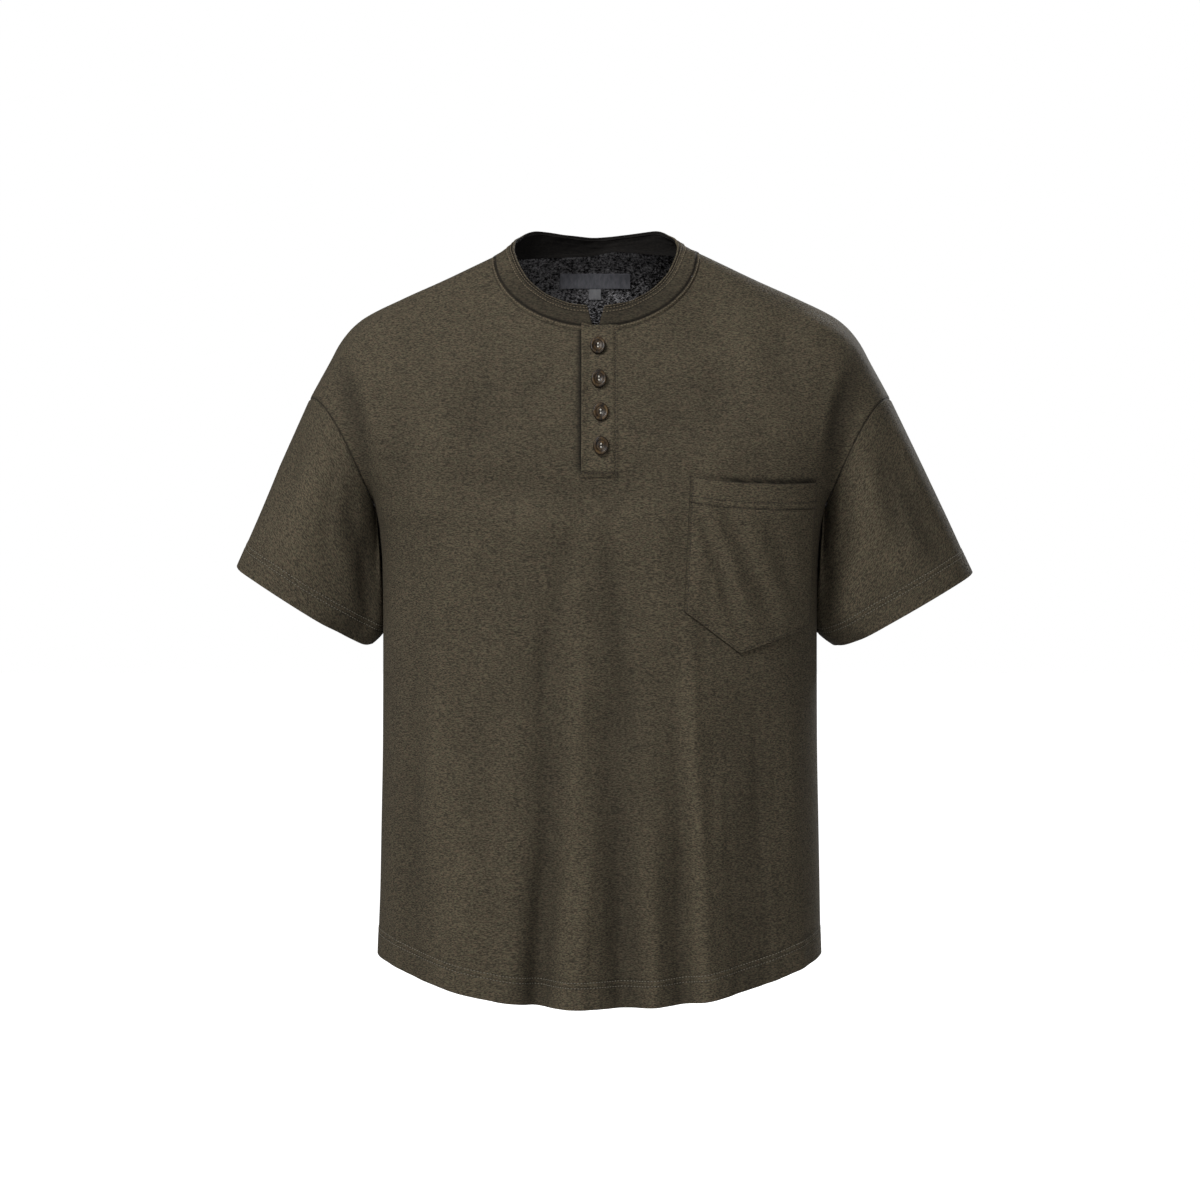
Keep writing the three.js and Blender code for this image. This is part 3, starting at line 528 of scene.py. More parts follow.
def cloth_mesh(name, outer, inner, uv, groove, keep=None, wraps=False, turn=None):
    """A closed cloth between two grids. Its inner faces take the second material.

    The painted shade is 1 where seams, stitch rows, hollows and overhangs are painted darkest and 0 on the
    open cloth.
    The turn brings the cloth's lay upright, for the flecks of the yarn.
    """
    rows, columns = outer.shape[:2]
    cells = np.ones((rows - 1, columns if wraps else columns - 1), bool) if keep is None else keep

    def corners(r, c):
        return [(r, c), (r + 1, c), (r + 1, c + 1), (r, c + 1)]

    def ids(place, under):
        return under * rows * columns + place[0] * columns + place[1] % columns

    whole = corners(*np.nonzero(cells))
    faces = [np.stack([ids(p, 0) for p in whole], 1), np.stack([ids(p, 1) for p in whole[::-1]], 1)]
    places = [np.stack([uv[p] for p in whole], 1), np.stack([uv[p] for p in whole[::-1]], 1)]
    slots = [np.zeros(len(faces[0]), int), np.ones(len(faces[0]), int)]
    wide = np.pad(cells, 1)
    if wraps:
        wide[1:-1, 0], wide[1:-1, -1] = cells[:, -1], cells[:, 0]
    for i, (down, across) in enumerate([(0, -1), (1, 0), (0, 1), (-1, 0)]):
        beside = wide[1 + down:rows + down, 1 + across:wide.shape[1] - 1 + across]
        edge = corners(*np.nonzero(cells & ~beside))
        a, b = edge[(i + 1) % 4], edge[i]
        faces.append(np.stack([ids(a, 0), ids(b, 0), ids(b, 1), ids(a, 1)], 1))
        places.append(np.stack([uv[a], uv[b], uv[b], uv[a]], 1))
        slots.append(np.zeros(len(faces[-1]), int))
    points = np.concatenate([outer.reshape(-1, 3), inner.reshape(-1, 3)])
    dark = np.broadcast_to(groove, (rows, columns)).reshape(-1)
    return solid_mesh(name, points, *(np.concatenate(part) for part in (faces, places, slots)),
                      np.clip(np.concatenate([dark, 0 * dark]), 0, 1),
                      points if turn is None else points @ turn)


def solid_mesh(name, points, faces, places=None, slots=None, groove=None, lay=None):
    """A mesh from closed quads, turned so that its faces point out."""
    corner = points[faces]
    first = np.einsum("ij,ij->i", corner[:, 0], np.cross(corner[:, 1], corner[:, 2]))
    second = np.einsum("ij,ij->i", corner[:, 0], np.cross(corner[:, 2], corner[:, 3]))
    if first.sum() + second.sum() < 0:
        faces = faces[:, ::-1]
        places = None if places is None else places[:, ::-1]
    used, new = np.unique(faces, return_inverse=True)
    mesh = bpy.data.meshes.new(name)
    mesh.from_pydata((points[used] * MM).tolist(), [], new.reshape(-1, 4).tolist())
    if places is not None:
        layer = mesh.uv_layers.new(name="cloth")
        layer.data.foreach_set("uv", places.reshape(-1).astype(np.float32))
    if groove is not None:
        mesh.attributes.new("groove", "FLOAT", "POINT").data.foreach_set("value", groove[used])
        mesh.attributes.new("lay", "FLOAT_VECTOR", "POINT").data.foreach_set("vector", lay[used].ravel() * MM)
    if slots is not None:
        mesh.polygons.foreach_set("material_index", slots.astype(np.int32))
    mesh.shade_smooth()
    mesh.set_sharp_from_angle(angle=math.radians(55))
    mesh.validate()
    return mesh


def add_object(name, mesh, *materials):
    thing = bpy.data.objects.new(name, mesh)
    bpy.context.scene.collection.objects.link(thing)
    for material in materials:
        mesh.materials.append(material)
    return thing


def dress(thing, slot, *nodes):
    """Joins a finished piece to the root body and hides the nodes it stands for. The slot, its finish, is not
    used.
    """
    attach(thing, "root")
    if nodes:
        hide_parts(*nodes)


def panel_grid(cut):
    """Outer points of a body panel, fine enough for its creases, with its rows and columns."""
    columns = cut["neck"] + cut["sides"]
    half = np.concatenate([np.arange(0, columns - 0.5, 0.25), columns - np.array([0.5, 0.25, 0.1, 0.03, 0])])
    centre = np.linspace(-1, 1, 9)[1:-1]
    rows = np.concatenate([np.arange(0, 2.4, 0.12), np.arange(2.4, 10, 0.125), np.arange(10, 26, 1 / 6.5),
                           np.linspace(26, 27, 25)])
    row = rows[:, None]
    left, right = (half_panel(cut, side, half[None, :], row) for side in (-1, 1))
    middle = [mix(left[axis][:, :1], right[axis][:, :1], (centre[None, :] + 1) / 2) for axis in (0, 1)]
    x, z = (np.concatenate([left[axis][:, ::-1], middle[axis], right[axis]], 1) for axis in (0, 1))
    column = np.concatenate([-half[::-1] - 1, centre, half + 1])
    return x, z, rows, column


def hollow_shade(settings, push):
    """Shade painted into a fold's hollow: slight on the open cloth and none on the ridge, which so stays
    lighter.
    """
    return settings.hollow_shade * np.clip(0.3 - push / 12, 0, 1)


def make_panel(cut, name, settings):
    x, z, rows, column = panel_grid(cut)
    points = on_body(cut, x, z, settings.crease_depth)
    normals = flattened(points, grid_normals(points, (0, 0, -300)))
    from_top, from_side = lengths(points, 0), lengths(points, 1)
    from_side = np.minimum(from_side, from_side[:, -1:] - from_side)
    by_neck = smooth((cut["neck"] + 1 - np.abs(column)) / 0.6)[None, :]
    above_hem = from_top[-1:] - from_top
    push = -humps((0.9, from_top, SEAM_WIDTH), (0.9, from_side, SEAM_WIDTH))
    push += by_neck * (0.9 * smooth(5.0 - from_top) - humps((0.9, from_top, 1.2), (0.4, from_top - 5.6, 0.8)))
    push += hem_relief(above_hem, x * 0.031 + 0.7 * cut["facing"])
    outer = points + normals * push[..., None]
    outer[:, [0, -1], 1] = 0
    outer[0, np.abs(column) >= cut["neck"] + 1, 1] = 0
    thickness = hemmed_thickness(settings, above_hem)
    inward = flattened(points, evened(grid_normals(outer, (0, 0, -300)), 3))
    inner = outer - inward * thickness[..., None]
    # Painted shade: dark lines at the neck seam and its row, the top and side seams and hem rows, the falls
    # beside the arms and the fold hollows.
    groove = by_neck * humps((0.95, from_top - 0.3, 1.1), (0.55, from_top - 5.9, 0.7))
    groove = groove + (1 - by_neck) * 0.6 * hump(from_top, 0.8) + seam_and_rows(from_side, above_hem)
    groove = groove + 0.3 * smooth(-crease_push(cut["creases"][:2], x, z) / 8) ** 2
    groove = groove + hollow_shade(settings, cloth_push(cut, x, z, settings.crease_depth))
    # Painted shadow beside the placket's free edge and above the pocket's sagging mouth.
    if cut is FRONT:
        beside = smooth((z - PLACKET["bottom"]) / 12) * smooth((-78 - z) / 4)
        groove = groove + 1.0 * hump(x - PLACKET["left"] + 1.4, 2.8) * beside
        groove = groove + 0.9 * hump(above_mouth(x, z) - 1.2, 2.4) * smooth((x - 84) / 50) * (x < 201)
    in_slot = (np.abs(column[1:] + column[:-1]) / 2 < 1)[None, :] & (rows[1:, None] <= ARMHOLE_ROWS)
    keep = ~in_slot if cut is FRONT else np.ones_like(in_slot)
    mesh = cloth_mesh(name, outer, inner, hung_uv(cut, x, z), groove, keep)
    return mesh, outer, inner


def hemmed_thickness(settings, above_hem):
    """Thickness of the cloth, nearly doubled where the hem is turned."""
    return settings.cloth_thickness / MM + 1.1 * smooth((HEM_BAND - above_hem) / 2)


def seam_and_rows(from_seam, above_hem):
    """Shade painted along a seam and the hem's two rows of stitches."""
    return humps((0.75, from_seam, SEAM_WIDTH), *((0.3, above_hem - row, 0.9) for row in HEM_ROWS))


def above_mouth(x, z):
    """Height of a point over the pocket's mouth."""
    share = np.clip((x - POCKET["top_inner"][0]) / (POCKET["top_outer"][0] - POCKET["top_inner"][0]), 0, 1)
    return z - mix(POCKET["top_inner"][1], POCKET["top_outer"][1], share) + mouth_sag(share)


def mouth_sag(share):
    return 4.2 * np.sin(math.pi * np.clip(share, 0, 1) ** 0.85) ** 0.8


def hem_relief(above, wave):
    """A turned hem: a thicker band below two sunk rows of stitches, and a slightly wavy edge."""
    band = 0.4 * smooth((HEM_BAND + 0.5 - above) / 1.2)
    rows = humps(*((0.55, above - row, 1.0) for row in HEM_ROWS))
    return band - rows + 0.55 * waves(wave, 0, HEM_WAVES) * smooth((70 - above) / 70)


def armhole_ring(side, turn):
    """The armhole seam round the arm: turn 0 is the shoulder, 90 the front and 180 the underarm."""
    x, z = armhole_point(side, np.where(turn <= 180, turn, 360 - turn))
    depth = np.where(turn <= 180, -body_depth(FRONT, x, z), body_depth(BACK, x, z))
    depth = np.where(np.minimum(turn % 180, 180 - turn % 180) < 0.5, 0, depth)
    return np.stack([x, depth, z], -1)


# Creases that only the cloth has, by the sleeve's side: turn, width, start, end, push.
SLEEVE_CREASES = {
    1: [(30, 14, 0.1, 0.55, 2.2), (62, 9, 0.1, 0.75, -3.2), (84, 10, 0.05, 0.7, 2.4),
        (112, 9, 0.1, 0.6, -2.8),
        (124, 12, 0.5, 1.1, 3.0), (96, 9, 0.5, 1.0, -2.2), (262, 13, 0.2, 0.8, 3), (290, 11, 0.1, 0.7, -3),
        (236, 11, 0.3, 0.9, -2.4), (320, 14, 0.2, 0.7, 2)],
    -1: [(34, 14, 0.1, 0.6, -2.0), (58, 11, 0.2, 0.8, 2.4), (82, 9, 0.1, 0.7, -2.2),
         (108, 10, 0.1, 0.55, -2.6),
         (118, 11, 0.4, 1.1, 2.8), (134, 8, 0.4, 1.05, -3.4), (258, 13, 0.2, 0.8, 3), (288, 11, 0.1, 0.7, -3),
         (230, 11, 0.3, 0.9, -2.4), (318, 14, 0.2, 0.7, 2)],
}


def sleeve_grid(arm, creased):
    turn = np.arange(0, 360, 3.0)
    ring = armhole_ring(arm["side"], turn)
    share = np.concatenate([[0, 0.004, 0.01, 0.018, 0.03], np.arange(0.05, 0.76, 0.025),
                            np.linspace(0.77, 1, 26)])[:, None]
    down = (1 - np.cos(np.radians(turn))) / 2
    cuff = np.stack([
        arm["side"] * mix(arm["cuff_outer"][0], arm["cuff_inner"][0], down),
        -arm["depth"] * np.sin(np.radians(turn)),
        mix(arm["cuff_outer"][1], arm["cuff_inner"][1], down)], -1)
    straight = mix(armhole_bottom[0], arm["cuff_inner"][0], share)
    leaving = np.clip((share - CUFF_TURN["from"]) / CUFF_TURN["over"], 0, 1) ** 1.9
    inward = mix(underarm_out(share), arm["cuff_inner"][0], leaving) - straight
    points = ring[None] + (cuff - ring)[None] * share[..., None]
    near = smooth((down - 0.5) / 0.5)[None, :]
    squared = np.where(down > 0.5, np.maximum(np.abs(np.sin(np.radians(turn))), 0.1) ** -0.28, 1)
    points[..., 1] *= mix(1, squared[None, :], smooth(share / 0.5))
    points[..., 0] += arm["side"] * near * inward
    points[..., 1] += near * underarm_back(share)
    outward = np.stack([
        arm["side"] * np.cos(np.radians(turn)) * -seam_direction[0], -np.sin(np.radians(turn)),
        np.cos(np.radians(turn)) * -seam_direction[1]], -1)
    push = np.zeros(points.shape[:2])
    for at, width, depth, start, end in arm["folds"]:
        grown = smooth((share - start) / 0.3) * smooth((end - share) / 0.2)
        push += depth * hump(turn - at, width)[None, :] * grown
    for at, width, start, end, depth in SLEEVE_CREASES[arm["side"]]:
        grown = np.sin(math.pi * np.clip((share - start) / (end - start), 0, 1))
        lean = (share - start) * 30
        push += creased * depth * hump(turn[None, :] - at - lean, width) * grown
    by_body = np.clip((down - CUFF_CORNERS["inner_from"]) / (1 - CUFF_CORNERS["inner_from"]), 0, 1)
    by_edge = np.clip(1 - down / CUFF_CORNERS["outer_from"], 0, 1)
    drawn = CUFF_CORNERS["inner"] * (1 - np.sqrt(1 - by_body ** 2.2))
    drawn = drawn + arm["outer_round"] * (1 - np.sqrt(1 - by_edge ** 2.2))
    back = drawn[None, :] * np.clip((share - 0.4) / 0.6, 0, 1)
    points = points + outward[None] * push[..., None]
    points[..., 0] -= arm["side"] * arm_direction[0] * back
    points[..., 2] -= arm_direction[1] * back
    return points, turn, push


def make_sleeve(arm, name, settings):
    points, turn, folds = sleeve_grid(arm, settings.crease_depth)
    inside = points.mean((0, 1))
    normals = grid_normals(points, inside, True)
    from_ring = lengths(points, 0)
    above_hem = from_ring[-1:] - from_ring
    push = hem_relief(above_hem * CUFF_STRETCH, np.sin(np.radians(turn))[None, :] * 0.6 + arm["side"])
    push = push - 0.9 * hump(from_ring, SEAM_WIDTH)
    outer = points + normals * push[..., None]
    thickness = hemmed_thickness(settings, above_hem)
    inner = outer - evened(grid_normals(outer, inside, True), 3, True) * thickness[..., None]
    # Painted shade along the armhole seam, the cuff's rows and the hollows of the folds.
    groove = seam_and_rows(from_ring, above_hem * CUFF_STRETCH) + hollow_shade(settings, 1.6 * folds)
    lay = np.array([[arm["side"] * -seam_direction[0], 0, arm["side"] * -arm_direction[0]], [0, 1, 0],
                    [-seam_direction[1], 0, -arm_direction[1]]])
    return cloth_mesh(name, outer, inner, own_uv(outer, True), groove, None, True, lay), outer


def collar_grid():
    """Middle points of the collar, from its seam up, round the neck from end to end."""
    first = COLLAR_ENDS["seam_turn"]
    half = np.concatenate([np.linspace(first, 8, 10)[:-1], np.linspace(8, 180, 90)])
    side = np.concatenate([np.full(len(half), -1.0), np.ones(len(half) - 1)])
    turn = np.concatenate([half, half[::-1][1:]])
    x, z = neck_x(side, turn), neck_height(side, turn)
    ends = [neck_height(way, 180 - neck_turn(way, way * SLOT["half_width"])) for way in (-1, 1)]
    level = mix(*ends, np.clip((x / SLOT["half_width"] + 1) / 2, 0, 1))
    z = np.where((turn > 90) & (np.abs(x) < SLOT["half_width"]), level, z)
    front, back = on_body(FRONT, x, z), on_body(BACK, x, z)
    seam = np.where((turn <= 90)[:, None], front, back)
    seam[:, 1] = np.where(np.abs(turn - 90) < 0.6, 0, seam[:, 1])
    leave = (COLLAR_ENDS["top_turn"] - first) * np.exp(-(turn - first) / 8)
    mirrored = COLLAR_TOP + [(195, -28, 59.5, 24)]
    out, back_at, up = (curve(mirrored, column)(turn + leave) for column in (1, 2, 3))
    top = np.stack([NECK["centre"] + side * out, back_at, up], -1)
    share = np.concatenate([[0, 0.02, 0.05, 0.08], np.linspace(0.12, 0.76, 16), np.linspace(0.78, 1, 17)])
    return seam[None] + (top - seam)[None] * share[:, None, None], share


def edge_round(distance, radius):
    """From 0 at an edge to 1 a radius inside it, along a quarter circle."""
    return np.sqrt(np.clip(1 - (1 - np.minimum(distance / radius, 1)) ** 2, 0.02, 1))


def make_collar(name, settings):
    middle, share = collar_grid()
    normals = evened(grid_normals(middle, (NECK["centre"], 0, -20)), 2)
    up, along = lengths(middle, 0), lengths(middle, 1)
    from_top, from_end = up[-1:] - up, np.minimum(along, along[:, -1:] - along)
    half = 1.3 * edge_round(from_top, 1.2) * edge_round(from_end, 1.2)
    bulge = 0.7 * np.sin(math.pi * share)[:, None] - humps(
        (1.1, up, 1.2), (0.75, from_top - 2.9, 0.6), *((0.35, from_top - row, 0.6) for row in COLLAR_ROWS))
    bulge = bulge + (0.35 * np.sin(along * 0.11) + 0.3 * np.sin(along * 0.23 + 1)) * share[:, None]
    outer = middle + normals * (half + bulge)[..., None]
    inner = middle - normals * (half - bulge)[..., None]
    # Painted shade: the foot seam, the line under the rolled top edge, the stitch rows, and the whole band,
    # darker towards its front.
    groove = humps((1.1, up, 1.0), (1.0, from_top - 2.7, 0.7), (0.5, from_top - COLLAR_ROWS[0], 0.5),
                   (0.35, from_top - COLLAR_ROWS[1], 0.5))
    groove = groove + (0.24 + 0.38 * smooth((-4 - middle[..., 2]) / 50)) * smooth((from_top - 1.2) / 1.0)
    # The inner face's foot reaches down a little behind the panel's edge.
    inner[:4] -= np.linspace(2.0, 0, 4, endpoint=False)[:, None, None] * unit(middle[1] - middle[0])[None]
    return cloth_mesh(name, outer, inner, own_uv(outer), groove), outer


def laid_cloth(name, cut, x, z, low, high, groove=0.0):
    """A piece of cloth that follows a body panel, between two distances from its outer face."""
    normals = evened(body_normal(cut, x, z), 2)
    surface = on_body(cut, x, z)
    outer = surface + normals * high[..., None]
    return cloth_mesh(name, outer, surface + normals * low[..., None], own_uv(outer), groove), outer


def placket_grid():
    columns, rows = graded((0.08, 6), (0.88, 18), (1, 9)), graded((0.02, 5), (0.94, 60), (1, 9))
    x = mix(PLACKET["left"], PLACKET["right"], columns)[None, :] + 0 * rows[:, None]
    top = neck_height(np.sign(x), np.abs(neck_turn(np.sign(x), x))) - 0.1
    return x, mix(top, PLACKET["bottom"], rows[:, None])


def placket_lift(x, z):
    """How far the placket's free edge stands off the front."""
    free = smooth((PLACKET["lift_from"] - x) / (PLACKET["lift_from"] - PLACKET["left"]))
    uneven = 0.75 + 0.3 * np.sin((z + 112) * 0.2)
    return 1.4 * PLACKET["lift"] * free * uneven * smooth((z - PLACKET["bottom"]) / 16)


def placket_height(x, z):
    left, right, from_foot = x - PLACKET["left"], PLACKET["right"] - x, z - PLACKET["bottom"]
    sunk = humps((0.55, right - 2.6, 0.7), (0.55, from_foot - 5.5, 0.7))
    wave = 0.3 * np.sin(z * 0.2 + x * 0.1)
    rounded = edge_round(np.minimum(np.minimum(left, right), from_foot), 1.1)
    seat = LAY_GAP * smooth(right / 8)
    sewn = mix(0.2, 1, smooth(np.minimum(right, from_foot) / 6))
    return placket_lift(x, z) + np.maximum(0.35, seat + (WALL + 0.2 + wave - sunk) * rounded * sewn)


def placket_painted_shade(x, z):
    """Shade painted along the placket's stitches and sewn edges."""
    right, from_foot = PLACKET["right"] - x, z - PLACKET["bottom"]
    return humps((0.15, right - 2.6, 0.7), (0.4, right, 0.7), (0.6, from_foot - 5.2, 0.7),
                 (0.5, from_foot, 0.7))


def pocket_grid():
    inner, outer, tip = (POCKET[name] for name in ("bottom_inner", "bottom_outer", "tip"))
    tip_share = (tip[0] - inner[0]) / (outer[0] - inner[0])
    share = np.concatenate([graded((0.03, 5), (tip_share, 17))[:-1], np.linspace(tip_share, 0.97, 20)[:-1],
                            np.linspace(0.97, 1, 5)])[None, :]
    rows = graded((0.02, 4), (0.24, 24), (0.97, 34), (1, 5))[:, None]

    def place(axis):
        before = mix(inner[axis], tip[axis], share / tip_share)
        after = mix(tip[axis], outer[axis], (share - tip_share) / (1 - tip_share))
        top = mix(POCKET["top_inner"][axis], POCKET["top_outer"][axis], share)
        return mix(top, np.where(share < tip_share, before, after), rows)

    return place(0), place(1) - mouth_sag(share) * (1 - rows) ** 3, share, rows


def pocket_layers(share, rows, points):
    """The lower and upper faces of the pocket over the front, and the shade painted on its seams, edges and
    fold hollows.
    """
    mouth = np.sin(math.pi * np.clip((share - 0.05) / 0.95, 0, 1) ** 1.4) ** 0.8
    under = mix(0.1, 0.4, share) + 1.5 * POCKET["mouth"] * mouth * (1 - rows) ** 5
    along, down = lengths(points, 1), lengths(points, 0)
    sides = np.minimum(along, along[:, -1:] - along)
    edge = edge_round(np.minimum(np.minimum(sides, down[-1:] - down), down + 0.25), 1.0)
    across = share * (POCKET["top_outer"][0] - POCKET["top_inner"][0])
    grown = np.sin(math.pi * np.clip(rows * 1.15 - 0.12, 0, 1)) ** 0.7 * smooth(sides / 14)
    folds = grown * humps(*((push, across - at - rows * lean, width)
                            for push, at, lean, width in POCKET_FOLDS))
    upper, lower = (down - row for row in POCKET_ROWS)
    sunk = humps((0.55, upper, 0.8), (0.6, lower, 0.8), (0.45, sides - 2.2, 0.7))
    band = 0.6 * smooth((POCKET_ROWS[1] + 0.5 - down) / 1.5)
    high = under + np.maximum(0.8, WALL + band + 0.4 - sunk + folds + 2.8 * grown) * edge
    # Painted shade on the seam rows, the edges and the hollows of the pocket's folds.
    groove = humps((0.45, upper, 0.7), (0.55, lower, 0.7), (0.4, sides - 2.2, 0.6), (0.7, sides, 0.8),
                   (0.7, down[-1:] - down, 0.8), (0.8, down, 0.7))
    return under, high, groove + 0.16 * smooth(-folds / 3)


def make_button():
    """One dished oval button, its back on the plane z = 0, in millimetres."""
    # Share of the radius, share of the thickness, and how much shade is painted there: the side, the dish's
    # wall and the centre are darkest.
    profile = [(0, 0, 1), (0.86, 0, 1), (0.97, 0.12, 1), (1, 0.35, 0.95), (0.99, 0.58, 0.9),
               (0.95, 0.76, 0.7),
               (0.9, 0.85, 0.35), (0.84, 0.88, 0), (0.76, 0.87, 0), (0.68, 0.83, 0.05), (0.62, 0.74, 0.55),
               (0.57, 0.64, 0.85), (0.52, 0.6, 0.5), (0.46, 0.6, 0.1), (0.38, 0.58, 0.2), (0.3, 0.52, 0.6),
               (0.16, 0.46, 0.9), (0, 0.45, 1)]
    sides = 40
    mesh = bmesh.new()
    shade = mesh.verts.layers.float.new("groove")
    rings = []
    for radius, height, _ in profile:
        up = height * BUTTON["thickness"]
        if radius == 0:
            rings.append([mesh.verts.new((0, 0, up))])
            continue
        turns = [math.tau * i / sides for i in range(sides)]
        rings.append([mesh.verts.new((
            radius * BUTTON["half_width"] * math.cos(turn),
            radius * BUTTON["half_height"] * math.sin(turn), up)) for turn in turns])
    for ring, (_, _, dark) in zip(rings, profile):
        for vertex in ring:
            vertex[shade] = dark
    for low, high in zip(rings, rings[1:]):
        for i in range(sides):
            a, b = low[i % len(low)], low[(i + 1) % len(low)]
            c, d = high[(i + 1) % len(high)], high[i % len(high)]
            mesh.faces.new([v for k, v in enumerate((a, b, c, d)) if v not in (a, b, c, d)[:k]])
    bmesh.ops.recalc_face_normals(mesh, faces=mesh.faces)
    done = bpy.data.meshes.new("button_blank")
    mesh.to_mesh(done)
    mesh.free()
    return done


def tube(points, radius, sides=8):
    """Points and quads of a round thread along a line, tapered shut at its ends."""
    points = np.array(points, float)
    ahead = np.roll(points, -1, 0) - np.roll(points, 1, 0)
    ahead[0], ahead[-1] = points[1] - points[0], points[-1] - points[-2]
    ahead = unit(ahead)
    side = unit(np.cross(ahead, np.array([0.3, 1, 0.2])))
    up = np.cross(ahead, side)
    turn = np.linspace(0, math.tau, sides, endpoint=False)
    size = np.full(len(points), float(radius))
    size[[0, -1]] = radius * 0.15
    ring = side[:, None] * np.cos(turn)[None, :, None] + up[:, None] * np.sin(turn)[None, :, None]
    rings = points[:, None] + ring * size[:, None, None]
    i, j = np.meshgrid(np.arange(len(points) - 1), np.arange(sides), indexing="ij")
    ids = [(i + down) * sides + (j + across) % sides for down, across in ((0, 0), (0, 1), (1, 1), (1, 0))]
    return rings.reshape(-1, 3), np.stack([part.ravel() for part in ids], 1)


def joined_tubes(name, tubes):
    points, faces, start = [], [], 0
    for ring_points, ring_faces in tubes:
        points.append(ring_points)
        faces.append(ring_faces + start)
        start += len(ring_points)
    return solid_mesh(name, np.concatenate(points), np.concatenate(faces))


# Materials: a node is made, given its fixed inputs and linked in one call.
def add_node(tree, kind, links=(), **values):
    node = tree.nodes.new(kind)
    for name, value in values.items():
        if name.startswith("in_"):
            key = name[3:]
            node.inputs[int(key) if key.isdigit() else key.replace("_", " ")].default_value = value
        else:
            setattr(node, name, value)
    for key, source in dict(links).items():
        tree.links.new(source, node.inputs[key])
    return node


def maths(tree, operation, a, b=None, clamp=False):
    node = tree.nodes.new("ShaderNodeMath")
    node.operation = operation
    node.use_clamp = clamp
    for socket, value in zip(node.inputs, (a, b)):
        if isinstance(value, (int, float)):
            socket.default_value = value
        elif value is not None:
            tree.links.new(value, socket)
    return node.outputs[0]


def weighted(tree, *parts):
    """The sum of values, each times its weight."""
    scaled = [maths(tree, "MULTIPLY", value, weight) for value, weight in parts]
    whole = scaled[0]
    for part in scaled[1:]:
        whole = maths(tree, "ADD", whole, part)
    return whole


# The kinds of a group's sockets, by their names. All others are colours.
SOCKET_KINDS = {
    "Vector": "Vector", "Lay": "Vector", "Geometry": "Geometry", "Seed": "Int", "Thread": "Material",
    "Pile": "Material",
    **dict.fromkeys(("Contrast", "Groove", "Height", "Roughness", "Spacing", "Length", "Width", "Count"),
                    "Float"),
}


def new_group(name, inputs, outputs, kind="ShaderNodeTree"):
    """A node group with its sockets, which are named by words."""
    group = bpy.data.node_groups.new(name, kind)
    for way, labels in (("INPUT", inputs), ("OUTPUT", outputs)):
        for label in labels.split():
            group.interface.new_socket(name=label, in_out=way,
                                       socket_type="NodeSocket" + SOCKET_KINDS.get(label, "Color"))
    return group, group.nodes.new("NodeGroupInput").outputs, group.nodes.new("NodeGroupOutput").inputs


def noise(tree, vector, scale, stretch=(1, 1, 1), detail=2.0, rough=0.5, place=(0, 0, 0)):
    """Noise whose cells are about 1 / scale wide, stretched along its axes."""
    node = add_node(tree, "ShaderNodeMapping", {"Vector": vector}, in_Scale=stretch, in_Location=place)
    return add_node(tree, "ShaderNodeTexNoise", {"Vector": node.outputs[0]}, in_Scale=scale,
                    in_Detail=detail, in_Roughness=rough).outputs["Fac"]


def ranged(tree, value, low, high, to_low=0.0, to_high=1.0):
    return add_node(tree, "ShaderNodeMapRange", {"Value": value}, in_From_Min=low, in_From_Max=high,
                    in_To_Min=to_low, in_To_Max=to_high).outputs[0]


def blend_colours(tree, factor, a, b):
    node = tree.nodes.new("ShaderNodeMix")
    node.data_type = "RGBA"
    for socket, value in zip((node.inputs[0], node.inputs[6], node.inputs[7]), (factor, a, b)):
        if isinstance(value, (int, float, tuple)):
            socket.default_value = value
        else:
            tree.links.new(value, socket)
    return node.outputs[2]


# Widths in metres of the knit's wales and courses, and of the tape's ribs and picks.
WALE, COURSE = 0.0011, 0.0014
TAPE_RIB, TAPE_PICK = 0.0009, 0.0007


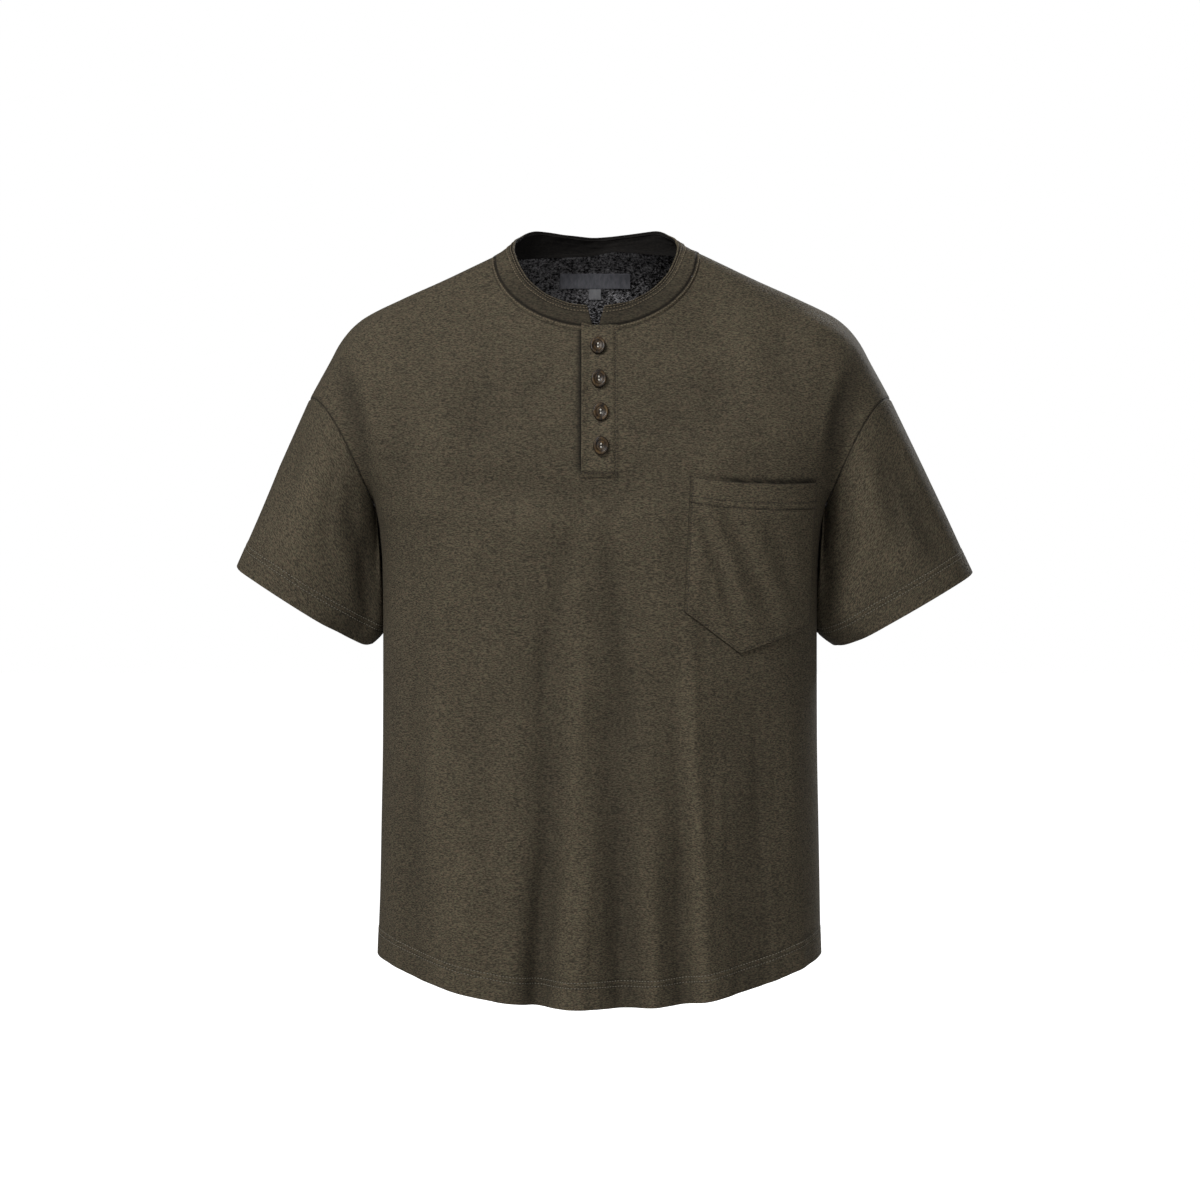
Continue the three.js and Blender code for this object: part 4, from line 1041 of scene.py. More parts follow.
def heather_group():
    """Heathered knit: flecked yarns in two tones by their lay, darkened where shade is painted, with wales
    and courses for the relief.
    """
    group, given, put = new_group("heather_knit", "Vector Lay Dark Light Warm Contrast Groove",
                                  "Color Height Roughness")
    lay = given["Lay"]
    fleck = noise(group, lay, 960, (0.42, 0.42, 1.35), 2.0, 0.7)
    streak = noise(group, lay, 420, (0.3, 0.3, 2.2), 2.0, 0.6, (3, 7, 0))
    cloud = noise(group, lay, 16, (1, 1, 1), 3.0, 0.55, (11, 2, 0))
    tone = weighted(group, (fleck, 0.79), (streak, 0.18), (cloud, 0.03))
    spread = maths(group, "MULTIPLY", maths(group, "SUBTRACT", tone, 0.5), given["Contrast"])
    tone = maths(group, "ADD", maths(group, "MULTIPLY", spread, 5.3), 0.5, True)
    warm = ranged(group, noise(group, lay, 640, (0.5, 0.5, 1.6), 2.0, 0.6, (5, 1, 0)), 0.4, 0.6)
    light = blend_colours(group, warm, given["Light"], given["Warm"])
    yarn = blend_colours(group, tone, given["Dark"], light)
    # Painted shade: the mask darkens the yarn towards near black.
    deep = maths(group, "MULTIPLY", given["Groove"], 0.88)
    group.links.new(blend_colours(group, deep, yarn, (0.003, 0.0025, 0.002, 1)), put["Color"])
    parts = add_node(group, "ShaderNodeSeparateXYZ", {0: given["Vector"]}).outputs
    wale = maths(group, "SINE", maths(group, "MULTIPLY", parts[0], math.tau / WALE))
    shift = maths(group, "MULTIPLY", maths(group, "ABSOLUTE", wale), 1.2)
    down = maths(group, "MULTIPLY", parts[1], math.tau / COURSE)
    course = maths(group, "SINE", maths(group, "ADD", shift, down))
    lint = maths(group, "MULTIPLY", maths(group, "SUBTRACT", fleck, 0.5), 3.0)
    group.links.new(maths(group, "ADD", weighted(group, (wale, 0.5), (course, 0.35)), lint), put["Height"])
    group.links.new(ranged(group, fleck, 0.3, 0.7, 0.86, 0.98), put["Roughness"])
    return group


def pile_group():
    """Brushed loops: short light tips over a dark ground."""
    group, given, put = new_group("brushed_pile", "Vector Dark Light", "Color Height")
    loop = noise(group, given["Vector"], 420, (1, 1, 1.5), 2.0, 0.6)
    clump = noise(group, given["Vector"], 150, (1, 1, 1), 2.0, 0.5, (4, 9, 2))
    tone = weighted(group, (loop, 0.72), (clump, 0.28))
    tip = ranged(group, tone, 0.42, 0.6)
    group.links.new(blend_colours(group, tip, given["Dark"], given["Light"]), put["Color"])
    group.links.new(tone, put["Height"])
    return group


def horn_group():
    """Polished horn: long cloudy streaks from dark to honey and fine lines, with shade painted on the
    button's side, the wall of its dish and its centre.
    """
    group, given, put = new_group("polished_horn", "Vector Dark Light Groove", "Color Height Roughness")
    cloud = noise(group, given["Vector"], 260, (1, 0.4, 0.5), 3.0, 0.55)
    line = noise(group, given["Vector"], 900, (1, 0.25, 0.4), 2.0, 0.5, (2, 2, 2))
    tone = ranged(group, weighted(group, (cloud, 0.75), (line, 0.25)), 0.4, 0.66)
    horn = blend_colours(group, tone, given["Dark"], given["Light"])
    # Painted shade: the mask darkens the horn towards near black.
    deep = maths(group, "MULTIPLY", given["Groove"], 0.92)
    group.links.new(blend_colours(group, deep, horn, (0.003, 0.002, 0.0015, 1)), put["Color"])
    group.links.new(line, put["Height"])
    group.links.new(ranged(group, line, 0.3, 0.7, 0.34, 0.5), put["Roughness"])
    return group


def tape_group():
    """Woven tape: fine ribs across and a faint mottle."""
    group, given, put = new_group("woven_tape", "Vector Dark Light", "Color Height")
    parts = add_node(group, "ShaderNodeSeparateXYZ", {0: given["Vector"]}).outputs
    rib, pick = (maths(group, "SINE", maths(group, "MULTIPLY", part, math.tau / width))
                 for part, width in zip(parts, (TAPE_RIB, TAPE_PICK)))
    weave = weighted(group, (rib, 0.25), (pick, 0.2))
    mottle = maths(group, "MULTIPLY", noise(group, given["Vector"], 300, (1, 0.4, 1), 2.0, 0.6), 1.2)
    tone = ranged(group, maths(group, "ADD", weave, mottle), 0.15, 1.05)
    group.links.new(blend_colours(group, tone, given["Dark"], given["Light"]), put["Color"])
    group.links.new(weave, put["Height"])
    return group


def surface(name, group, colours, roughness, bump, specular=0.15, coordinates="UV"):
    """A material with its Principled shader, fed by one effect group."""
    material = bpy.data.materials.new(name)
    material.use_nodes = True
    tree = material.node_tree
    shader = tree.nodes["Principled BSDF"]
    shader.inputs["Specular IOR Level"].default_value = specular
    shader.inputs["Roughness"].default_value = roughness
    effect = tree.nodes.new("ShaderNodeGroup")
    effect.node_tree = group
    source = tree.nodes.new("ShaderNodeTexCoord").outputs
    # The painted shade mask of the piece, and the lay of its yarn.
    groove = add_node(tree, "ShaderNodeAttribute", attribute_name="groove").outputs["Fac"]
    lay = add_node(tree, "ShaderNodeAttribute", attribute_name="lay").outputs["Vector"]
    fed = {"Vector": source[coordinates], "Groove": groove,
           "Lay": lay if coordinates == "UV" else source["Object"]}
    for label, value in fed.items():
        if label in effect.inputs:
            tree.links.new(value, effect.inputs[label])
    for label, value in colours.items():
        effect.inputs[label].default_value = (*value, 1.0) if hasattr(value, "__len__") else value
    tree.links.new(effect.outputs["Color"], shader.inputs["Base Color"])
    if "Roughness" in effect.outputs:
        tree.links.new(effect.outputs["Roughness"], shader.inputs["Roughness"])
    raised = add_node(tree, "ShaderNodeBump", {"Height": effect.outputs["Height"]},
                      in_Strength=bump[0], in_Distance=bump[1])
    tree.links.new(raised.outputs[0], shader.inputs["Normal"])
    return material


GROUPS = {"heather_knit": heather_group, "brushed_pile": pile_group, "polished_horn": horn_group,
          "woven_tape": tape_group}


def finish(name):
    """A finish of the shirt by its name, made when it is first asked for."""
    if name in bpy.data.materials:
        return bpy.data.materials[name]
    cloth, trim = bpy.context.scene.henley_cloth, bpy.context.scene.henley_trim

    def made(key, colours, *values):
        return surface(name, bpy.data.node_groups.get(key) or GROUPS[key](), colours, *values)

    def knit(dark, light, warm, contrast, *values):
        colours = {"Dark": dark, "Light": light, "Warm": warm, "Contrast": contrast}
        return made("heather_knit", colours, *values)

    if name == "heathered_jersey":
        return knit(cloth.jersey_dark, cloth.jersey_light, cloth.jersey_warm, 1.0, 0.95, (0.35, 0.0006), 0.12)
    if name == "turned_facing":
        return knit(cloth.facing_dark, cloth.facing_light, cloth.facing_light, 0.8, 0.95, (0.35, 0.0006), 0.1)
    if name in ("hem_thread", "seam_thread", "collar_thread"):
        thread = getattr(trim, name)
        return knit([0.7 * part for part in thread], thread, thread, 0.6, 0.7, (0.2, 0.0002), 0.3, "Object")
    group, dark, light, *values = {
        "charcoal_pile": ("brushed_pile", cloth.pile_dark, cloth.pile_light, 0.97, (0.9, 0.0016), 0.08,
                          "Object"),
        # The pale thread paints the small glints above and below each button's centre.
        "button_thread_glint": ("woven_tape", trim.button_thread_glint, trim.button_thread_glint, 0.3, (0.1, 0.0002), 0.6,
                          "Object"),
        "polished_horn": ("polished_horn", trim.horn_dark, trim.horn_light, 0.3, (0.1, 0.0003), 0.2,
                          "Object"),
        "size_tape": ("woven_tape", trim.tab_dark, trim.tab_light, 0.6, (0.4, 0.0003), 0.3),
        "woven_label": ("woven_tape", trim.tape_dark, trim.tape_light, 0.6, (0.4, 0.0003), 0.3),
    }[name]
    return made(group, {"Dark": dark, "Light": light}, *values)


def colour_property(name, description, default):
    return FloatVectorProperty(name=name, description=description, default=default, subtype="COLOR",
                               size=3, min=0, max=1)


def length_property(name, description, default, high=0.05):
    return FloatProperty(name=name, description=description, default=default, min=0, max=high,
                         subtype="DISTANCE", unit="LENGTH", precision=5)


class HenleyCloth(bpy.types.PropertyGroup):
    jersey_dark: colour_property("Dark yarn", "Darkest flecks of the jersey", (0.0205, 0.0172, 0.0118))
    jersey_light: colour_property("Light yarn", "Lightest flecks of the jersey", (0.073, 0.065, 0.041))
    jersey_warm: colour_property("Warm yarn", "Browner flecks of the jersey", (0.080, 0.060, 0.040))
    # The collar's inside is near black: the dark of its cloth with the shade inside the neck painted in.
    facing_dark: colour_property("Dark facing", "Darkest flecks inside the collar", (0.003, 0.0026, 0.0026))
    facing_light: colour_property("Light facing", "Lightest flecks inside the collar", (0.009, 0.008, 0.007))
    pile_dark: colour_property("Pile ground", "The ground of the brushed inside", (0.003, 0.003, 0.0034))
    pile_light: colour_property("Pile tips", "The light tips of the brushed inside", (0.185, 0.18, 0.185))
    cloth_thickness: length_property("Cloth", "Thickness of the jersey", 0.0012)
    crease_depth: FloatProperty(name="Creases", description="How deep the soft creases are", default=1.0,
                                min=0, max=2, subtype="FACTOR")
    # Strength of the shade painted into the hollows of the folds.
    hollow_shade: FloatProperty(name="Hollow shade", description="How dark the hollows of the folds are",
                                default=0.42, min=0, max=1, subtype="FACTOR")
    pile_length: length_property("Pile length", "Length of the loops inside", 0.0058)
    pile_width: length_property("Pile width", "Width of the loops inside", 0.00095)
    pile_count: FloatProperty(name="Pile count", description="Loops on a square metre", default=340000,
                              min=0, max=1e6)
    pile_seed: IntProperty(name="Pile seed", description="Start of the loops' random places", default=7)


class HenleyTrim(bpy.types.PropertyGroup):
    stitch_spacing: length_property("Stitch spacing", "From one stitch to the next", 0.0031)
    stitch_length: length_property("Stitch length", "Length of one stitch", 0.0024)
    stitch_width: length_property("Thread", "Thickness of the sewing thread", 0.0009)
    hem_thread: colour_property("Hem thread", "Thread of the hems and cuffs", (0.12, 0.108, 0.082))
    seam_thread: colour_property("Seam thread", "Thread of the placket and pocket", (0.022, 0.017, 0.012))
    collar_thread: colour_property("Collar thread", "Thread of the collar and neck", (0.115, 0.09, 0.058))
    # Pale thread colour, partly a painted highlight: the glints on the buttons.
    button_thread_glint: colour_property("Button thread", "Thread that holds the buttons", (0.34, 0.32, 0.28))
    horn_dark: colour_property("Dark horn", "The dark of the buttons", (0.006, 0.0032, 0.0012))
    horn_light: colour_property("Light horn", "The honey streaks of the buttons", (0.06, 0.034, 0.0105))
    tape_dark: colour_property("Dark tape", "The dark of the woven label", (0.04, 0.04, 0.046))
    tape_light: colour_property("Light tape", "The light of the woven label", (0.14, 0.14, 0.155))
    tab_dark: colour_property("Dark tab", "The dark of the size tab", (0.06, 0.06, 0.063))
    tab_light: colour_property("Light tab", "The light of the size tab", (0.15, 0.15, 0.155))


class HenleyStage(bpy.types.PropertyGroup):
    floor_drop: length_property("Floor", "How far the floor lies under the hem", 0.4, 2)
    key_power: FloatProperty(name="Key light", description="Power of the soft light from the upper left",
                             default=182, min=0, max=1000, unit="POWER")
    ambient: FloatProperty(name="Ambient", description="Strength of the light from all round", default=0.25,
                           min=0, max=2)
    lens: FloatProperty(name="Lens", description="Focal length of the camera", default=94.24, min=10,
                        max=300, unit="CAMERA")


class HENLEY_OT_stage(bpy.types.Operator):
    """Make the pale floor, the soft lights and the camera"""

    bl_idname = "henley.stage"
    bl_label = "Stage"

    def execute(self, context):
        settings = context.scene.henley_stage
        floor_up = CAD_BOX[0].z - settings.floor_drop
        corners = [(-1, -1), (1, -1), (1, 1), (-1, 1)]
        mesh = bpy.data.meshes.new("studio_floor")
        points = [(x * FLOOR_REACH, y * FLOOR_REACH, floor_up) for x, y in corners]
        mesh.from_pydata(points, [], [(0, 1, 2, 3)])
        paint = bpy.data.materials.new("pale_floor")
        paint.use_nodes = True
        shader = paint.node_tree.nodes["Principled BSDF"]
        shader.inputs["Base Color"].default_value = (0.5, 0.5, 0.5, 1)
        shader.inputs["Roughness"].default_value = 0.8
        shader.inputs["Emission Color"].default_value = (1, 1, 1, 1)
        seen = paint.node_tree.nodes.new("ShaderNodeLightPath").outputs["Is Camera Ray"]
        paint.node_tree.links.new(seen, shader.inputs["Emission Strength"])
        add_object("studio_floor", mesh, paint)
        world = bpy.data.worlds.new("soft_studio")
        world.use_nodes = True
        sky = world.node_tree
        sky.nodes["Background"].inputs[0].default_value = (1, 1, 1, 1)
        seen = sky.nodes.new("ShaderNodeLightPath").outputs["Is Camera Ray"]
        sky.links.new(maths(sky, "MAXIMUM", seen, settings.ambient), sky.nodes["Background"].inputs[1])
        context.scene.world = world
        for name, place, share, width in LIGHTS:
            light = bpy.data.lights.new(name, "AREA")
            light.energy, light.size = settings.key_power * share, width
            lamp = bpy.data.objects.new(name, light)
            lamp.location = place
            lamp.rotation_mode = "QUATERNION"
            aim = Vector(LIGHTS_AIM) - Vector(place)
            lamp.rotation_quaternion = aim.to_track_quat("-Z", "Y")
            context.scene.collection.objects.link(lamp)
        camera = bpy.data.cameras.new("camera")
        camera.lens, camera.sensor_width = settings.lens, 36
        eye = bpy.data.objects.new("camera", camera)
        eye.location = CAMERA_PLACE
        eye.rotation_euler = (math.radians(90), 0, 0)
        context.scene.collection.objects.link(eye)
        context.scene.camera = eye
        context.scene.view_settings.view_transform = "Standard"
        return {"FINISHED"}


class HENLEY_OT_body(bpy.types.Operator):
    """Make the front and back panels with their folds, creases and turned hems"""

    bl_idname = "henley.body"
    bl_label = "Body panels"

    def execute(self, context):
        settings = context.scene.henley_cloth
        jersey, pile = finish("heathered_jersey"), finish("charcoal_pile")
        for cut, name, node, area in ((FRONT, "front_panel", "front", 0.366),
                                      (BACK, "back_panel", "back", 0.381)):
            mesh, cut["outer"], cut["inner"] = make_panel(cut, name, settings)
            panel = add_object(name, mesh, jersey, pile)
            dress(panel, "jersey", node)
        return {"FINISHED"}


class HENLEY_OT_sleeves(bpy.types.Operator):
    """Make the two short sleeves with their cuff hems"""

    bl_idname = "henley.sleeves"
    bl_label = "Sleeves"

    def execute(self, context):
        settings = context.scene.henley_cloth
        for arm, name, node in ((LEFT_ARM, "left_sleeve", "sleeve_left"),
                                (RIGHT_ARM, "right_sleeve", "sleeve_right")):
            mesh, arm["outer"] = make_sleeve(arm, name, settings)
            sleeve = add_object(name, mesh, finish("heathered_jersey"), finish("charcoal_pile"))
            dress(sleeve, "jersey", node)
        return {"FINISHED"}


class HENLEY_OT_collar(bpy.types.Operator):
    """Make the stand collar with its rolled top edge"""

    bl_idname = "henley.collar"
    bl_label = "Collar"

    def execute(self, context):
        mesh, COLLAR_ENDS["outer"] = make_collar("stand_collar", context.scene.henley_cloth)
        collar = add_object("stand_collar", mesh, finish("heathered_jersey"), finish("turned_facing"))
        dress(collar, "jersey", "collar")
        return {"FINISHED"}


class HENLEY_OT_placket(bpy.types.Operator):
    """Make the upper placket with its free edge, and the one under it"""

    bl_idname = "henley.placket"
    bl_label = "Plackets"

    def execute(self, context):
        jersey = finish("heathered_jersey")
        x, z = placket_grid()
        low = 0.1 + 0.3 * placket_lift(x, z)
        mesh, _ = laid_cloth("upper_placket", FRONT, x, z, low, placket_height(x, z), placket_painted_shade(x, z))
        upper = add_object("upper_placket", mesh, jersey, jersey)
        dress(upper, "jersey", "placket_top")
        columns = np.linspace(-17, 17, 16)[None, :]
        z = mix(neck_height(1, 0) - 2, PLACKET["bottom"] + 3, np.linspace(0, 1, 50))[:, None]
        x, z = np.broadcast_arrays(columns, z)
        low = np.full(x.shape, -2 * WALL - LAY_GAP)
        mesh, _ = laid_cloth("lower_placket", FRONT, x, z, low, low + WALL)
        lower = add_object("lower_placket", mesh, jersey, finish("charcoal_pile"))
        dress(lower, "jersey", "placket_under")
        return {"FINISHED"}


class HENLEY_OT_pocket(bpy.types.Operator):
    """Make the chest pocket with its pointed foot and sagging mouth"""

    bl_idname = "henley.pocket"
    bl_label = "Pocket"

    def execute(self, context):
        x, z, share, rows = pocket_grid()
        low, high, groove = pocket_layers(share, rows, on_body(FRONT, x, z))
        mesh, POCKET["outer"] = laid_cloth("chest_pocket", FRONT, x, z, low, high, groove)
        pocket = add_object("chest_pocket", mesh, finish("heathered_jersey"), finish("charcoal_pile"))
        dress(pocket, "jersey", "pocket")
        return {"FINISHED"}


class HENLEY_OT_labels(bpy.types.Operator):
    """Make the bare woven label and the size tab inside the back neck"""

    bl_idname = "henley.labels"
    bl_label = "Labels"

    def execute(self, context):
        for tag, name, node, tape in ((LABEL, "woven_label", "neck_label", "woven_label"),
                                      (SIZE_TAB, "size_tag", "size_tab", "size_tape")):
            across, down = np.linspace(0, 1, 25)[None, :], np.linspace(0, 1, 11)[:, None]
            x = mix(tag["left"], tag["right"], across) + 0 * down
            z = mix(tag["top"], tag["bottom"], down) + 0 * across
            puff = 0.5 * np.sin(math.pi * across) ** 0.5 * np.sin(math.pi * down) ** 0.5
            low = -WALL - TAG_GAP - tag["thickness"] * 0.6 - puff
            mesh, _ = laid_cloth(name, BACK, x, z, low, low + 0.7 * tag["thickness"])
            label = add_object(name, mesh, finish(tape), finish(tape))
            dress(label, "label_tape", node)
        return {"FINISHED"}


class HENLEY_OT_buttons(bpy.types.Operator):
    """Make the four horn buttons with the threads that hold them"""

    bl_idname = "henley.buttons"
    bl_label = "Buttons"

    def execute(self, context):
        blank = make_button()
        spread, creased = BUTTON["spread"], context.scene.henley_cloth.crease_depth
        for i, (x, z) in enumerate(BUTTON_PLACES):
            place = np.array(x, float), np.array(z, float)
            outward = unit(body_normal(FRONT, *place, 0) + np.array([0, -BUTTON["lean"], 0]))
            base = on_body(FRONT, *place, creased) + outward * (LAY_GAP + WALL + BUTTON["lift"])
            across = unit(np.cross([0, 0, 1], outward))
            basis = np.stack([across, np.cross(outward, across), outward], 1)
            name = f"horn_button_{i + 1}"
            mesh = blank.copy()
            mesh.name = name
            place = Matrix.LocRotScale(Vector(base * MM), Matrix(basis.tolist()), Vector((MM,) * 3))
            mesh.transform(place)
            mesh.shade_smooth()
            button = add_object(name, mesh, finish("polished_horn"))
            dress(button, "horn_button", f"button_{i + 1}")
            floor = BUTTON["floor"] * BUTTON["thickness"]
            strands = []
            for side, way in ((-0.3, 1), (0.35, 1), (-0.3, -1), (0.35, -1)):
                line = [(side, way * 0.5, floor - 0.5), (side, way * 0.8, floor + 0.5),
                        (side, way * 1.5, floor + 0.75), (side, way * 2.2, floor + 0.5),
                        (side, way * spread * 1.1, floor - 0.3)]
                strands.append(tube(base + np.array(line) @ basis.T, 0.34))
            # The pale thread paints the glints above and below the button's centre.
            thread = add_object(f"button_thread_glint_{i + 1}", joined_tubes(f"button_thread_glint_{i + 1}", strands),
                                finish("button_thread_glint"))
            dress(thread, "horn_button")
        bpy.data.meshes.remove(blank)
        return {"FINISHED"}


def ball_tree_end(tree, given, material, points, turned, size, put):
    """Ends a tree with small round balls on its points, made real and given their material."""
    ball = add_node(tree, "GeometryNodeMeshIcoSphere", in_Radius=0.5, in_Subdivisions=1)
    smoothed = add_node(tree, "GeometryNodeSetShadeSmooth", {"Geometry": ball.outputs[0]})
    laid = add_node(tree, "GeometryNodeInstanceOnPoints", {
        "Points": points, "Instance": smoothed.outputs[0], "Rotation": turned, "Scale": size})
    real = add_node(tree, "GeometryNodeRealizeInstances", {"Geometry": laid.outputs[0]})
    painted = add_node(tree, "GeometryNodeSetMaterial", {
        "Geometry": real.outputs[0], "Material": given[material]})
    tree.links.new(painted.outputs[0], put["Geometry"])
    return tree


def long_size(tree, given):
    return add_node(tree, "ShaderNodeCombineXYZ", {0: given["Length"], 1: given["Width"], 2: given["Width"]})


def stitch_tree():
    """Geometry nodes that lay small round stitches along the edges of a mesh."""
    tree, given, put = new_group("stitch_rows", "Geometry Spacing Length Width Thread", "Geometry",
                                 "GeometryNodeTree")
    rows = add_node(tree, "GeometryNodeMeshToCurve", {"Mesh": given["Geometry"]})
    spaced = add_node(tree, "GeometryNodeResampleCurve", {
        "Curve": rows.outputs[0], "Length": given["Spacing"]}, mode="LENGTH")
    tangent = tree.nodes.new("GeometryNodeInputTangent")
    turned = add_node(tree, "FunctionNodeAlignRotationToVector", {"Vector": tangent.outputs[0]}, axis="X")
    return ball_tree_end(tree, given, "Thread", spaced.outputs[0], turned.outputs[0],
                         long_size(tree, given).outputs[0], put)


def pile_tree():
    """Geometry nodes that strew short leaning loops over a mesh."""
    tree, given, put = new_group("pile_loops", "Geometry Count Length Width Seed Pile", "Geometry",
                                 "GeometryNodeTree")
    strewn = add_node(tree, "GeometryNodeDistributePointsOnFaces", {
        "Mesh": given["Geometry"], "Density": given["Count"], "Seed": given["Seed"]})
    lean = add_node(tree, "FunctionNodeRandomValue", {"Seed": given["Seed"]}, data_type="FLOAT_VECTOR",
                    in_0=(-0.3, -0.3, -1.1), in_1=(0.3, 0.3, 1.1))
    turned = add_node(tree, "FunctionNodeRotateRotation", {
        "Rotation": strewn.outputs["Rotation"], "Rotate By": lean.outputs[0]}, rotation_space="LOCAL")
    grown = add_node(tree, "FunctionNodeRandomValue", {"Seed": given["Seed"]}, data_type="FLOAT",
                     in_2=0.6, in_3=1.25)
    scale = add_node(tree, "ShaderNodeVectorMath", {
        0: long_size(tree, given).outputs[0], "Scale": grown.outputs[1]}, operation="SCALE")
    return ball_tree_end(tree, given, "Pile", strewn.outputs["Points"], turned.outputs[0],
                         scale.outputs[0], put)


def grow(name, mesh, tree, values, material):
    """Runs a geometry node tree on a mesh and keeps the result as a plain piece."""
    seed = add_object(f"{name}_guide", mesh)
    modifier = seed.modifiers.new("grow", "NODES")
    modifier.node_group = tree
    sockets = {s.name: s.identifier for s in tree.interface.items_tree if s.in_out == "INPUT"}
    for label, value in values.items():
        modifier[sockets[label]] = value
    seed.update_tag()
    made = bpy.data.meshes.new_from_object(seed.evaluated_get(bpy.context.evaluated_depsgraph_get()))
    made.name = name
    bpy.data.objects.remove(seed)
    made.materials.clear()
    return add_object(name, made, material)


def edge_mesh(name, lines):
    points = np.concatenate(lines)
    edges, start = [], 0
    for line in lines:
        edges += [(start + i, start + i + 1) for i in range(len(line) - 1)]
        start += len(line)
    mesh = bpy.data.meshes.new(name)
    mesh.from_pydata((points * MM).tolist(), edges, [])
    return mesh


def row_at(grid, distance, from_end=True, closed=False):
    """The line across a grid at a length from its last row, or from its first."""
    points = grid[::-1] if from_end else grid
    run = lengths(points, 0)
    line = []
    for column in range(grid.shape[1]):
        i = int(np.clip(np.searchsorted(run[:, column], distance) - 1, 0, len(grid) - 2))
        span = run[i + 1, column] - run[i, column]
        share = np.clip((distance - run[i, column]) / max(span, 1e-9), 0, 1)
        line.append(mix(points[i, column], points[i + 1, column], share))
    return np.array(line + line[:1] if closed else line)


def buttonhole(x, z):
    """The long ring of a buttonhole round the place of a button, on the face of the placket."""
    turn = np.linspace(0, math.tau, 60)
    length, width, drop = 10.4, 1.2, 0.6
    ring_x = x + width * np.cos(turn)
    ring_z = z - drop + length * np.sign(np.sin(turn)) * np.abs(np.sin(turn)) ** 0.3
    return on_placket(ring_x, ring_z)


def on_placket(x, z):
    return on_body(FRONT, x, z) + body_normal(FRONT, x, z) * placket_height(x, z)[..., None]


class HENLEY_OT_stitches(bpy.types.Operator):
    """Sew the rows of stitches on the hems, cuffs, collar, placket and pocket"""

    bl_idname = "henley.stitches"
    bl_label = "Stitches"

    def execute(self, context):
        trim = context.scene.henley_trim
        tree = stitch_tree()
        values = {"Spacing": trim.stitch_spacing, "Length": trim.stitch_length, "Width": trim.stitch_width}
        column = panel_grid(FRONT)[3]
        neck = np.abs(column) <= FRONT["neck"] + 1
        left, right = neck & (column <= -1), neck & (column >= 1)
        placket = on_placket(*placket_grid())
        pocket = POCKET["outer"]
        rim = np.concatenate([pocket[6:-3, 3], pocket[-4, 4:-4], pocket[6:-3, -4][::-1]])
        rows = {
            "hem_stitches": [row_at(cut["outer"], d) for cut in (FRONT, BACK) for d in HEM_ROWS],
            "cuff_stitches": [row_at(arm["outer"], d / CUFF_STRETCH, closed=True)
                              for arm in (LEFT_ARM, RIGHT_ARM) for d in HEM_ROWS],
            "collar_stitches": [row_at(COLLAR_ENDS["outer"], d)[2:-2] for d in COLLAR_ROWS],
            "neck_stitches": [row_at(FRONT["outer"][:40], NECK_ROW, False)[part] for part in (left, right)]
            + [row_at(BACK["outer"][:40], NECK_ROW, False)[np.abs(panel_grid(BACK)[3]) <= BACK["neck"] + 1]],
            "placket_stitches": [placket[3:-2, -5], placket[-5, 1:-2], placket[3, 2:-3]],
            "pocket_stitches": [row_at(pocket, d, False)[2:-2] for d in POCKET_ROWS] + [rim],
            "buttonhole_stitches": [buttonhole(*place) for place in BUTTON_PLACES],
        }
        kinds = {"hem": "hem_thread", "cuff": "hem_thread", "collar": "collar_thread",
                 "neck": "collar_thread"}
        for name, lines in rows.items():
            thread = finish(kinds.get(name.split("_")[0], "seam_thread"))
            sewn = grow(name, edge_mesh(f"{name}_line", lines), tree, {**values, "Thread": thread}, thread)
            dress(sewn, "jersey")
        return {"FINISHED"}


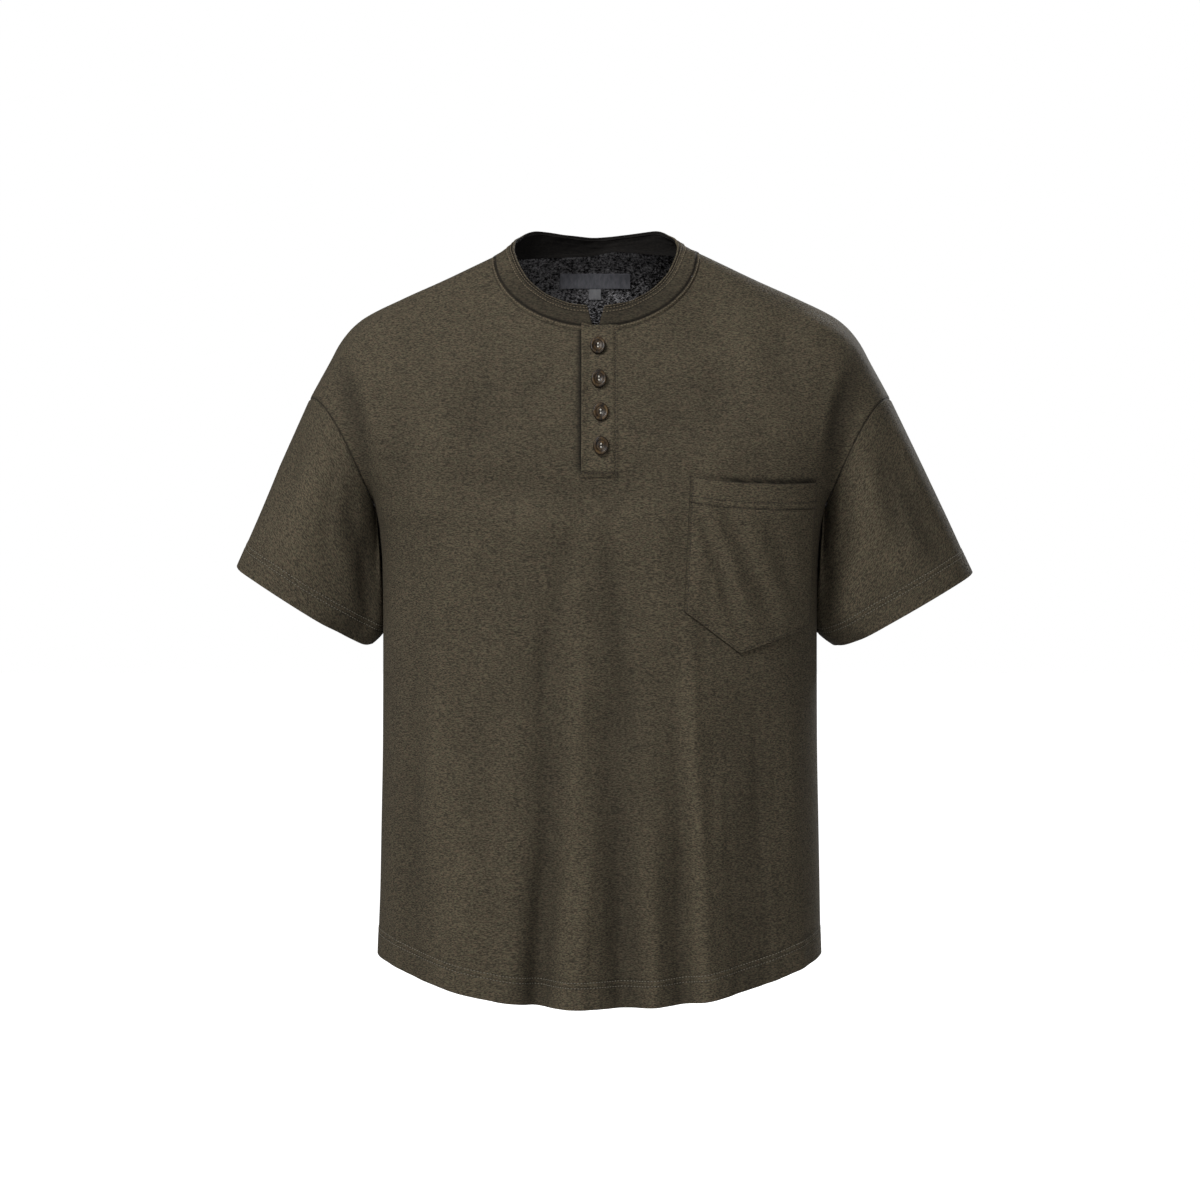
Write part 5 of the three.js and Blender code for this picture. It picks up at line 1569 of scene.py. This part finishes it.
class HENLEY_OT_pile(bpy.types.Operator):
    """Strew the brushed pile over the inside that shows through the neck"""

    bl_idname = "henley.pile"
    bl_label = "Pile"

    def execute(self, context):
        cloth = context.scene.henley_cloth
        faces, points, start = [], [], 0
        for cut in (FRONT, BACK):
            grid = cut["inner"] + 0.9 * unit(cut["inner"] - cut["outer"])
            rows, columns = grid.shape[:2]
            from_neck = lengths(grid, 0)[1:, 1:]
            r, c = np.nonzero((grid[1:, 1:, 2] > -95) & (np.abs(grid[1:, 1:, 0] + 4) < 112)
                              & (from_neck > 6.5) & (np.abs(grid[1:, 1:, 1]) > 8)
                              & (np.abs(grid[1:, 1:, 0]) > (SLOT["half_width"] if cut is FRONT else -1)))
            quads = np.stack([r * columns + c, r * columns + c + 1, (r + 1) * columns + c + 1,
                              (r + 1) * columns + c], 1)
            corner = grid.reshape(-1, 3)[quads]
            facing = np.cross(corner[:, 1] - corner[:, 0], corner[:, 3] - corner[:, 0])[:, 1].sum()
            if facing * cut["facing"] > 0:
                quads = quads[:, ::-1]
            faces.append(quads + start)
            points.append(grid.reshape(-1, 3))
            start += rows * columns
        mesh = bpy.data.meshes.new("pile_ground")
        mesh.from_pydata((np.concatenate(points) * MM).tolist(), [], np.concatenate(faces).tolist())
        pile = finish("charcoal_pile")
        grown = grow("neck_pile", mesh, pile_tree(), {
            "Count": cloth.pile_count, "Length": cloth.pile_length, "Width": cloth.pile_width,
            "Seed": cloth.pile_seed, "Pile": pile}, pile)
        dress(grown, "jersey")
        return {"FINISHED"}


OPERATORS = [HENLEY_OT_stage, HENLEY_OT_body, HENLEY_OT_sleeves, HENLEY_OT_collar, HENLEY_OT_placket,
             HENLEY_OT_pocket, HENLEY_OT_labels, HENLEY_OT_buttons, HENLEY_OT_stitches, HENLEY_OT_pile]


class HENLEY_PT_panel(bpy.types.Panel):
    """Sizes, colours and makers of the henley shirt"""

    bl_idname = "HENLEY_PT_panel"
    bl_label = "Henley shirt"
    bl_space_type = "VIEW_3D"
    bl_region_type = "UI"
    bl_category = "Henley"

    def draw(self, context):
        for settings in (context.scene.henley_cloth, context.scene.henley_trim, context.scene.henley_stage):
            box = self.layout.box()
            for name in settings.__annotations__:
                box.prop(settings, name)
        for operator in OPERATORS:
            self.layout.operator(operator.bl_idname)


SETTINGS = {"henley_cloth": HenleyCloth, "henley_trim": HenleyTrim, "henley_stage": HenleyStage}
CLASSES = [*SETTINGS.values(), *OPERATORS, HENLEY_PT_panel]


def register():
    for kind in CLASSES:
        bpy.utils.register_class(kind)
    for name, kind in SETTINGS.items():
        setattr(bpy.types.Scene, name, PointerProperty(type=kind))


def unregister():
    for name in SETTINGS:
        delattr(bpy.types.Scene, name)
    for kind in reversed(CLASSES):
        bpy.utils.unregister_class(kind)


def main():
    register()
    for operator in OPERATORS:
        getattr(bpy.ops.henley, operator.bl_idname.split(".")[1])()
    bpy.context.view_layer.update()


if __name__ == "__main__":
    main()
